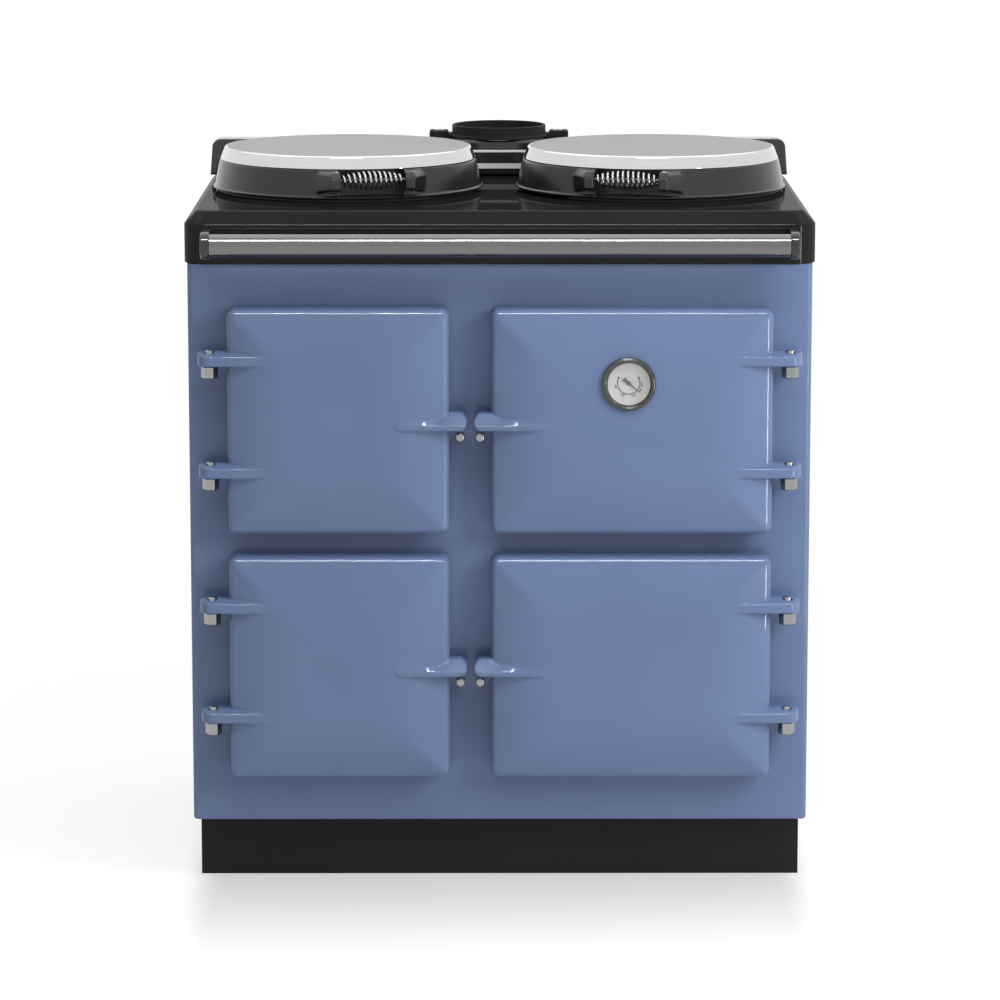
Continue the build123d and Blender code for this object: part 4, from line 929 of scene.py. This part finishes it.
def make_flue():
    mesh = rounded_box("flue_box", *box_mm("flue_box"), 5.0, 4)
    make("flue_box_enamelled", mesh, "cooker", "black_enamel", "black_enamel", "flue_box")
    low, high = box_mm("flue_collar")
    y = (low.y + high.y) / 2
    base, rim, bore = low.z + 4.0, high.z, 62.8
    profile = [(bore, base), (bore, rim - 1.6)] + arc((64.4, rim - 1.6), 1.6, 180, 90, 4)
    profile += arc((64.6, rim - 1.8), 1.8, 90, 0, 4) + [(66.4, base + 5.0), (67.4, base + 3.4)]
    profile += [(69.2, base + 2.8), (69.5, base + 2.2), (69.5, base), (bore, base)]
    parts = [lathe("flue_ring", profile, (0, y, 0))]
    for side in (-1, 1):
        for near, far, half, top, radius in ((63.5, 98.3, 14, 5.2, 2.2), (71.5, 98.4, 14.1, 8.9, 2.6)):
            x0, x1 = sorted((side * near, side * far))
            parts.append(rounded_box("lug", (x0, y - half, base - 3.9), (x1, y + half, base + top), radius))
    mesh = merged_mesh("flue_collar", *parts)
    make("flue_collar_cast", mesh, "cooker", "black_enamel", "satin_black", "flue_collar")
    dress("bright_chrome", "flue_collar_bolts")


class COOKER_OT_top(bpy.types.Operator):
    """Make the top plate, the upstand and the flue"""

    bl_idname = "cooker.top"
    bl_label = "Top plate and flue"

    def execute(self, context):
        make_top_plate(context.scene.cooker_sizes)
        make_upstand()
        make_flue()
        smooth_copy("cast_iron", "cast_iron", "hotplate_left", "hotplate_right")
        return {"FINISHED"}


# Lids


def lid_field(turn):
    """The casting of a lid about its own middle: body, hand pocket, cheeks and hinge tongue."""
    base, top, cheek_foot, reach, diagonal = 905.0, 943.5, 917.0, 191.0, 1.414
    pocket_half, pin_height, tongue_half = 43.5, 930.0, 17.8

    def field(x, y, z):
        u, v = x * math.cos(turn) + y * math.sin(turn), y * math.cos(turn) - x * math.sin(turn)
        across, away = np.abs(u), np.hypot(x, y)
        wall = (away - 182.6 + (z - base) * 0.21) / 1.022
        body = trimmed(wall, z - top, 2.4)
        lip = trimmed(away - 184.0, z - base - 3.2, 1.4)
        body = joined(body, lip, 1.2)
        nose = -reach - v
        ramp = 0.842 * (across - 56.0) - 0.540 * (v + reach)
        roof = z - top + 2.0
        shoulder = (roof + nose + 9.0) / diagonal
        slant = (roof + ramp + 6.0) / diagonal
        under = np.minimum(cheek_foot, cheek_foot - 0.25 * (across - 54.5)) - z
        cheek = trimmed(np.maximum(nose, ramp), np.maximum(roof, under), 2.2)
        cheek = trimmed(cheek, np.maximum(shoulder, slant), 2.0)
        cheek = np.maximum(np.maximum(cheek, 43.0 - across), v + 140.0)
        body = joined(body, cheek, 3.0)
        pocket = np.maximum(np.maximum(across - pocket_half, v + 143.0), 906.5 - z)
        body = trimmed(body, -pocket, 1.4)
        body = trimmed(body, base - z, 0.9)
        sink = np.maximum(away - 177.0, z - 907.6)
        sink = np.maximum(sink, -np.maximum(across - 48.0, v + 138.5))
        body = np.maximum(np.maximum(body, -sink), 125.0 - away)
        width = np.abs(x) - tongue_half
        tongue = trimmed(np.maximum(np.abs(y - 190.0) - 20.0, np.abs(z - pin_height) - 8.0), width, 1.6)
        knuckle = trimmed(np.hypot(y - 207.0, z - pin_height) - 11.0, width, 1.6)
        return joined(body, joined(tongue, knuckle, 3.0), 3.0)

    return field


class COOKER_OT_lids(bpy.types.Operator):
    """Make the two lids: cast bodies, bright caps and handle rods"""

    bl_idname = "cooker.lids"
    bl_label = "Lids"

    def execute(self, context):
        cap_top, spun_radius = 960.5, 165.0
        profile = [(171.0, 944.3), (172.6, 943.6), (173.5, 944.0), (173.7, 944.9), (169.0, 956.9)]
        profile += arc((165.1, 956.6), 3.9, 10, 90, 7)
        profile += [(radius, cap_top) for radius in (150.0, 100.0, 50.0, 0.0)]
        for name, side in LIDS:
            centre = lid_centre(name)
            turn = -side * context.scene.cooker_sizes.handle_turn
            front, back = -math.pi / 2 + turn, math.pi / 2
            angles = ticks(-math.pi, math.pi - 0.02, math.radians(2.0),
                           (front - 0.62, front + 0.62, math.radians(0.42)),
                           (back - 0.13, back + 0.13, math.radians(0.5)))
            axes = (ticks(122.0, 226.0, 4.0, (134.0, 198.0, 1.3)), angles[angles < math.pi - 0.005],
                    ticks(901.0, 947.0, 1.25))
            mesh = cast_mesh("lid_" + name, lid_field(turn), axes, polar=True)
            mesh.transform(Matrix.Translation(Vector((centre.x, centre.y, 0)) * MM))
            body = new_object("lid_casting_" + name, mesh)
            settle(body, "lid_" + name, "black_enamel", ["lid_enamel"], "lid_" + name)

            mesh = lathe("lid_cap_" + name, profile, (centre.x, centre.y, 0), segments=192)
            cap = new_object("lid_cap_spun_" + name, mesh)
            # The side of the cap takes the brighter copy of its metal, a painted sheen; the spun top takes the plain
            # cap colour.
            settle(cap, "lid_" + name, "polished_cap", ["polished_cap", "spun_cap"], "lid_cap_" + name)
            for face in mesh.polygons:
                away = (Vector(face.center[:2]) / MM - centre.xy).length
                face.material_index = int(away < spun_radius)
            even_shading(cap, 40)
            dress("spun_liner", "lid_liner_" + name)
            dress("dark_steel", "handle_rod_" + name)
        smooth_copy("black_enamel", "black_enamel", "lid_hinge_brackets")
        smooth_copy("bright_chrome", "bright_chrome", "lid_hinge_pins")
        return {"FINISHED"}


def spring_shape(sizes):
    """A barrel coil along X, from a line that is wound round by its own length."""
    coil = Shape("Handle spring")

    def product(a, b):
        return coil.math("MULTIPLY", a, b)

    length = coil.input("Length", 87.0 * MM)
    lead = coil.input("Lead", 2.2 * MM)
    turns = coil.input("Turns", float(sizes.spring_turns))
    end_radius = coil.input("End Radius", 4.9 * MM)
    bulge = coil.input("Bulge", 6.2 * MM)
    wire = coil.input("Wire", sizes.spring_wire)
    line = coil.add("GeometryNodeCurvePrimitiveLine")
    line = coil.add("GeometryNodeResampleCurve", line, Count=12 * 56)
    factor = coil.add("GeometryNodeSplineParameter")
    along = product(coil.math("SUBTRACT", factor, 0.5), length)
    wound_length = coil.math("SUBTRACT", length, product(lead, 2.0))
    share = coil.math("ADD", coil.math("DIVIDE", along, wound_length), 0.5)
    share = coil.add("ShaderNodeClamp", share)
    swell = coil.math("POWER", coil.math("SINE", product(share, math.pi)), 0.75)
    radius = coil.math("ADD", end_radius, product(bulge, swell))
    angle = product(product(share, turns), 2 * math.pi)
    spot = coil.add("ShaderNodeCombineXYZ", along, product(radius, coil.math("COSINE", angle)),
                    product(radius, coil.math("SINE", angle)))
    wound = coil.add("GeometryNodeSetPosition", line, Position=spot)
    section = coil.add("GeometryNodeCurvePrimitiveCircle", Resolution=14, Radius=product(wire, 0.5))
    tube = coil.add("GeometryNodeCurveToMesh", wound, section, Fill_Caps=True)
    coil.finish(tube, "spring_chrome")
    return coil


class COOKER_OT_springs(bpy.types.Operator):
    """Wind the two handle springs"""

    bl_idname = "cooker.springs"
    bl_label = "Handle springs"

    def execute(self, context):
        sizes = context.scene.cooker_sizes
        coil = spring_shape(sizes)
        for name, side in LIDS:
            piece = coil.grow("handle_spring_wound_" + name, [(0, 0, 0)])
            low, high = box_mm("handle_rod_" + name)
            turn = Matrix.Rotation(-side * sizes.handle_turn, 4, "Z")
            piece.data.transform(Matrix.Translation((low + high) / 2 * MM) @ turn)
            piece.data.shade_smooth()
            settle(piece, "lid_" + name, "bright_chrome", ["spring_chrome"], "handle_spring_" + name)
        return {"FINISHED"}


# Towel rail


class COOKER_OT_rail(bpy.types.Operator):
    """Make the towel rail and its end brackets"""

    bl_idname = "cooker.rail"
    bl_label = "Towel rail"

    def execute(self, context):
        low, high = box_mm("towel_rail")
        radius = (high.z - low.z) / 2
        y, z = (low.y + high.y) / 2, (low.z + high.z) / 2
        bore, lengths, nose, thickness = radius - 2.0, 8, 18.0, 12.0
        profile = [(bore, low.x), (radius, low.x)]
        profile += [(radius, low.x + (high.x - low.x) * i / lengths) for i in range(1, lengths + 1)]
        profile += [(bore, high.x), (bore, low.x)]
        mesh = lathe("towel_rail", profile, (0, y, z), axis="X", segments=160)
        make("towel_rail_tube", mesh, "cooker", "bright_chrome", "rail_chrome", "towel_rail")
        low, high = box_mm("rail_brackets")
        outline = [(high.y, z - nose), (high.y, z + nose)] + arc((low.y + nose, z), nose, 90, 270, 20)
        parts = [bevelled_plate("bracket", outline, *ends, 2.2, "X")
                 for ends in ((high.x - thickness, high.x), (low.x, low.x + thickness))]
        mesh = merged_mesh("rail_brackets", *parts)
        make("rail_brackets_cast", mesh, "cooker", "black_enamel", "black_enamel", "rail_brackets")
        return {"FINISHED"}


# Heat gauge and badge


def scale_shape(sizes):
    """An arc with a dot at each end, and a short mark on every point outside it."""
    scale = Shape("Gauge scale")
    radius, start, sweep = sizes.gauge_arc, math.radians(152), math.radians(236)
    around = scale.input("Arc Radius", radius)
    width = scale.input("Line Width", 1.4 * MM)
    path = scale.add("GeometryNodeCurveArc", Resolution=72, Radius=around, Start_Angle=start, Sweep_Angle=sweep)
    thread = scale.add("GeometryNodeCurvePrimitiveCircle", Resolution=8, Radius=scale.math("MULTIPLY", width, 0.5))
    tube = scale.add("GeometryNodeCurveToMesh", path, thread, Fill_Caps=True)
    laid = scale.move(tube, Rotation=QUARTER_TURN)
    parts = [scale.move(laid, Scale=(1, 0.12, 1))]
    dot = scale.add("GeometryNodeMeshCylinder", Vertices=24, Radius=width, Depth=0.15 * MM)
    for angle in (start, start + sweep):
        spot = (radius * math.cos(angle), 0, radius * math.sin(angle))
        parts.append(scale.move(dot, Translation=spot, Rotation=QUARTER_TURN))
    place = scale.add("ShaderNodeSeparateXYZ", scale.add("GeometryNodeInputPosition")).outputs
    turn = scale.add("ShaderNodeCombineXYZ", Y=scale.math("ARCTAN2", place["X"], place["Z"]))
    mark = scale.add("GeometryNodeMeshCube", Size=(0.95 * MM, 0.1 * MM, 2.4 * MM))
    parts.append(scale.on_points(mark, turn))
    scale.finish(scale.join(*parts), "gauge_ink")
    return scale


def scale_points(sizes):
    """Places of the marks, in groups round the lower part of a dial."""
    radius, step, points = 17.7, 4.6, []
    for middle in (196, 243, 291, 328, 353):
        for i in range(sizes.gauge_marks):
            angle = math.radians(middle + step * (i - (sizes.gauge_marks - 1) / 2))
            points.append((radius * math.cos(angle), 0, radius * math.sin(angle)))
    return points


class COOKER_OT_gauge(bpy.types.Operator):
    """Make the heat gauge in the upper right door"""

    bl_idname = "cooker.gauge"
    bl_label = "Heat gauge"

    def execute(self, context):
        sizes = context.scene.cooker_sizes
        low, high = box_mm("gauge_bezel")
        centre = Vector(((low.x + high.x) / 2, 0, (low.z + high.z) / 2))

        def turn(name, profile, slot, finish, node, degrees=35):
            mesh = lathe(name, profile, centre, axis="Y", segments=96)
            make(name, mesh, "door_upper_right", slot, finish, node, degrees=degrees)

        back, front = -high.y, -low.y
        profile = [(30.2, back - 0.3), (35.0, back - 0.3), (35.0, front - 4.2)]
        profile += arc((32.2, front - 4.2), 2.8, 0, 90, 7)[1:] + arc((31.2, front - 1.4), 1.4, 90, 180, 4)
        profile += [(29.6, front - 1.8), (28.4, front - 4.0), (27.75, back + 2.1), (30.2, back + 2.0)]
        profile += [(30.2, back - 0.3)]
        turn("gauge_bezel_turned", profile, "bright_chrome", "bezel_chrome", "gauge_bezel", 50)

        low, high = box_mm("gauge_dial")
        back, front = -high.y, -low.y
        face = back + 5.0
        profile = [(0.0, back), (31.0, back), (31.0, front), (28.5, front), (28.5, face + 0.8), (27.9, face + 0.2)]
        profile += [(27.0, face), (20.0, face), (19.6, face - 0.25), (12.0, face - 0.25), (1.6, face)]
        profile += [(1.6, face - 2.0), (0.0, face - 2.0)]
        turn("gauge_dial_pressed", profile, "dial_silver", "gauge_dial", "gauge_dial")
        scale = scale_shape(sizes).grow("gauge_scale_print", scale_points(sizes))
        scale.data.transform(Matrix.Translation(Vector((centre.x, -(face - 0.23), centre.z)) * MM))
        settle(scale, "door_upper_right", "dark_pointer", ["gauge_ink"])
        dress("pointer_grey", "gauge_needle")

        low, high = box_mm("gauge_glass")
        back, front = -high.y, -low.y
        profile = [(0.0, back), (29.8, back), (30.0, back + 0.2), (30.0, front - 0.2), (29.8, front), (0.0, front)]
        turn("gauge_window", profile, "gauge_glass", "gauge_glass", "gauge_glass")
        return {"FINISHED"}


class COOKER_OT_badge(bpy.types.Operator):
    """Make the bare badge plate on the flue box"""

    bl_idname = "cooker.badge"
    bl_label = "Badge plate"

    def execute(self, context):
        low, high = box_mm("badge_plate")
        plate = rounded_box("badge", low, high, 0.9)
        make("badge_frame", plate, "cooker", "bright_chrome", "badge_metal", "badge_plate")
        inset = Vector((4.0, 0, 3.0))
        inlay_low = Vector((low.x, low.y - 0.25, low.z + 5.0)) + inset
        inlay_high = Vector((high.x, low.y + 0.6, high.z)) - inset
        inlay = rounded_box("inlay", inlay_low, inlay_high, 0.25, 2)
        make("badge_inlay", inlay, "cooker", "black_enamel", "black_enamel")
        return {"FINISHED"}


# Ovens and compartments


class COOKER_OT_ovens(bpy.types.Operator):
    """Finish the ovens, shelves, controls and burner"""

    bl_idname = "cooker.ovens"
    bl_label = "Ovens and burner"

    def execute(self, context):
        dress("oven_enamel", "roasting_oven_liner", "simmering_oven_liner")
        smooth_copy("shelf_wire", "shelf_wire", "roasting_oven_shelf", "simmering_oven_shelf")
        dress("sheet_steel", "control_compartment_liner", "control_panel", "burner_compartment_liner",
              "burner_tube", "flue_duct")
        dress("cast_iron", "combustion_chamber")
        smooth_copy("cast_iron", "cast_iron", "burner_housing")
        smooth_copy("knob_plastic", "knob_plastic", "thermostat_knob")
        return {"FINISHED"}


# Studio, in metres and watts


def floor_finish():
    """Pale floor that the camera, metal and glass see as white, and that keeps the cooker's shadow, with a painted
    shadow round the plinth where its glow is lower.
    """
    material = bpy.data.materials.new("studio_floor")
    material.use_nodes = True
    web = Web(material.node_tree)
    web.tree.nodes.clear()
    place = web.add("ShaderNodeTexCoord").outputs["Object"]
    across = web.add("ShaderNodeSeparateXYZ", place).outputs
    away = web.add("ShaderNodeVectorMath", place, operation="LENGTH").outputs["Value"]
    soft = {"interpolation_type": "SMOOTHSTEP"}
    # Size of the plinth's footprint, and the share of glow left at it: a painted shadow round the plinth.
    half_width, half_depth, side_fall, painted_shadow_depth = 0.37, 0.24, 8.0, 0.575
    bounce, seen_tone = 0.92, 0.25
    glow_far = web.spread(away, 0.7, 4.0, 0.80, 0.92, **soft)
    beside, before = [web.math("MAXIMUM", web.math("SUBTRACT", web.math("ABSOLUTE", across[axis]), half))
                      for axis, half in (("X", half_width), ("Y", half_depth))]
    squares = [web.math("MULTIPLY", value, value) for value in (web.math("MULTIPLY", beside, side_fall), before)]
    reach = web.math("POWER", web.math("ADD", *squares, True), 0.5)
    # Painted shadow: the glow falls to that share at the plinth's footprint and comes back over half a metre.
    glow_with_painted_shadow = web.math("MULTIPLY", glow_far, web.spread(reach, 0.0, 0.5, painted_shadow_depth, 1.0, **soft))
    seen = web.white_rays()
    tone = web.spread(seen, 0.0, 1.0, bounce, seen_tone)
    matt = web.add("ShaderNodeBsdfDiffuse", Color=tone)
    glow = web.add("ShaderNodeEmission", Strength=web.math("MULTIPLY", seen, glow_with_painted_shadow))
    both = web.add("ShaderNodeAddShader", matt, glow)
    web.add("ShaderNodeOutputMaterial", Surface=both)
    return material


def make_sky(world):
    """White for the camera, metal and glass, and for matt surfaces a grey sky that is brighter on the right."""
    world.use_nodes = True
    web = Web(world.node_tree)
    towards = web.add("ShaderNodeSeparateXYZ", web.add("ShaderNodeTexCoord").outputs["Generated"]).outputs
    stops = ((0.0, 0.02), (0.18, 0.05), (0.40, 0.39), (0.66, 0.64), (1.0, 0.64))
    sky = web.tree.nodes["Background"]
    web.feed(sky.inputs["Color"], web.ramp(towards["Z"], *((height, grey(level)) for height, level in stops)))
    web.feed(sky.inputs["Strength"], web.spread(towards["X"], -1.0, 1.0, 0.45, 1.33))
    pale = web.add("ShaderNodeBackground", Color=(1, 1, 1, 1))
    both = web.add("ShaderNodeMixShader", web.white_rays(), sky, pale)
    web.feed(web.tree.nodes["World Output"].inputs["Surface"], both)


def lamp(name, place, aim, size, power, spread=180):
    data = bpy.data.lights.new(name, "AREA")
    data.shape = "RECTANGLE"
    data.size, data.size_y = size
    data.energy = power
    data.spread = math.radians(spread)
    light = new_object(name, data)
    light.location = place
    light.rotation_euler = (Vector(aim) - Vector(place)).to_track_quat("-Z", "Y").to_euler()
    light.visible_camera = False
    return light


class COOKER_OT_studio(bpy.types.Operator):
    """Set up the floor, lamps, sky and camera"""

    bl_idname = "cooker.studio"
    bl_label = "Studio"

    def execute(self, context):
        scene = context.scene
        scene.view_settings.view_transform = "Standard"
        mesh = bpy.data.meshes.new("studio_floor")
        with editing(mesh) as shape:
            bmesh.ops.create_circle(shape, cap_ends=True, segments=96, radius=60.0)
        mesh.materials.append(floor_finish())
        floor = new_object("studio_floor", mesh)

        scene.world = bpy.data.worlds.new("studio_air")
        make_sky(scene.world)
        lamp("strip_above", (0.25, -1.70, 3.1), (0.0, -0.25, 0.75), (3.0, 0.32), 33.0).visible_glossy = False
        lamp("key_right", (1.6, -1.45, 1.5), (0.1, -0.25, 0.6), (0.8, 1.3), 35.0).visible_glossy = False
        lamp("back_above", (0.0, 0.9, 3.0), (0.0, 0.1, 0.5), (4.4, 2.8), 28.0)
        lamp("glint_above", (0.25, -1.55, 2.9), (0.25, -0.37, 0.63), (3.0, 0.16), 4.5, 30).visible_diffuse = False
        lamp("glint_right", (1.5, -1.50, 0.47), (0.25, -0.35, 0.76), (0.10, 0.9), 0.2, 20).visible_diffuse = False

        view = bpy.data.cameras.new("photo_view")
        view.lens = 155.02
        view.sensor_width = 36.0
        view.clip_end = 200.0
        camera = new_object("photo_view", view)
        camera.location = (-0.0161, -5.8558, 1.5051)
        camera.rotation_euler = (math.pi / 2 - 0.1747, 0.0, -0.0029)
        scene.camera = camera
        return {"FINISHED"}


class COOKER_PT_panel(bpy.types.Panel):
    """Steps of the cooker, in order"""

    bl_label = "Range cooker"
    bl_idname = "COOKER_PT_panel"
    bl_space_type = "VIEW_3D"
    bl_region_type = "UI"
    bl_category = "Cooker"

    def draw(self, context):
        column = self.layout.column(align=True)
        for step in STEPS:
            column.operator(step.bl_idname, text=step.bl_label)
        for settings in (context.scene.cooker_sizes, context.scene.cooker_colours):
            box = self.layout.box()
            for name in settings.__annotations__:
                box.prop(settings, name)


STEPS = (COOKER_OT_finishes, COOKER_OT_casing, COOKER_OT_doors, COOKER_OT_hinges, COOKER_OT_top, COOKER_OT_lids,
         COOKER_OT_springs, COOKER_OT_rail, COOKER_OT_gauge, COOKER_OT_badge, COOKER_OT_ovens, COOKER_OT_studio)
CLASSES = (CookerSizes, CookerColours, *STEPS, COOKER_PT_panel)


def register():
    for cls in CLASSES:
        bpy.utils.register_class(cls)
    bpy.types.Scene.cooker_sizes = bpy.props.PointerProperty(type=CookerSizes)
    bpy.types.Scene.cooker_colours = bpy.props.PointerProperty(type=CookerColours)


def unregister():
    del bpy.types.Scene.cooker_colours
    del bpy.types.Scene.cooker_sizes
    for cls in reversed(CLASSES):
        bpy.utils.unregister_class(cls)


def main():
    register()
    bpy.ops.cooker.finishes()
    bpy.ops.cooker.casing()
    bpy.ops.cooker.doors()
    bpy.ops.cooker.hinges()
    bpy.ops.cooker.top()
    bpy.ops.cooker.lids()
    bpy.ops.cooker.springs()
    bpy.ops.cooker.rail()
    bpy.ops.cooker.gauge()
    bpy.ops.cooker.badge()
    bpy.ops.cooker.ovens()
    bpy.ops.cooker.studio()


if __name__ == "__main__":
    main()
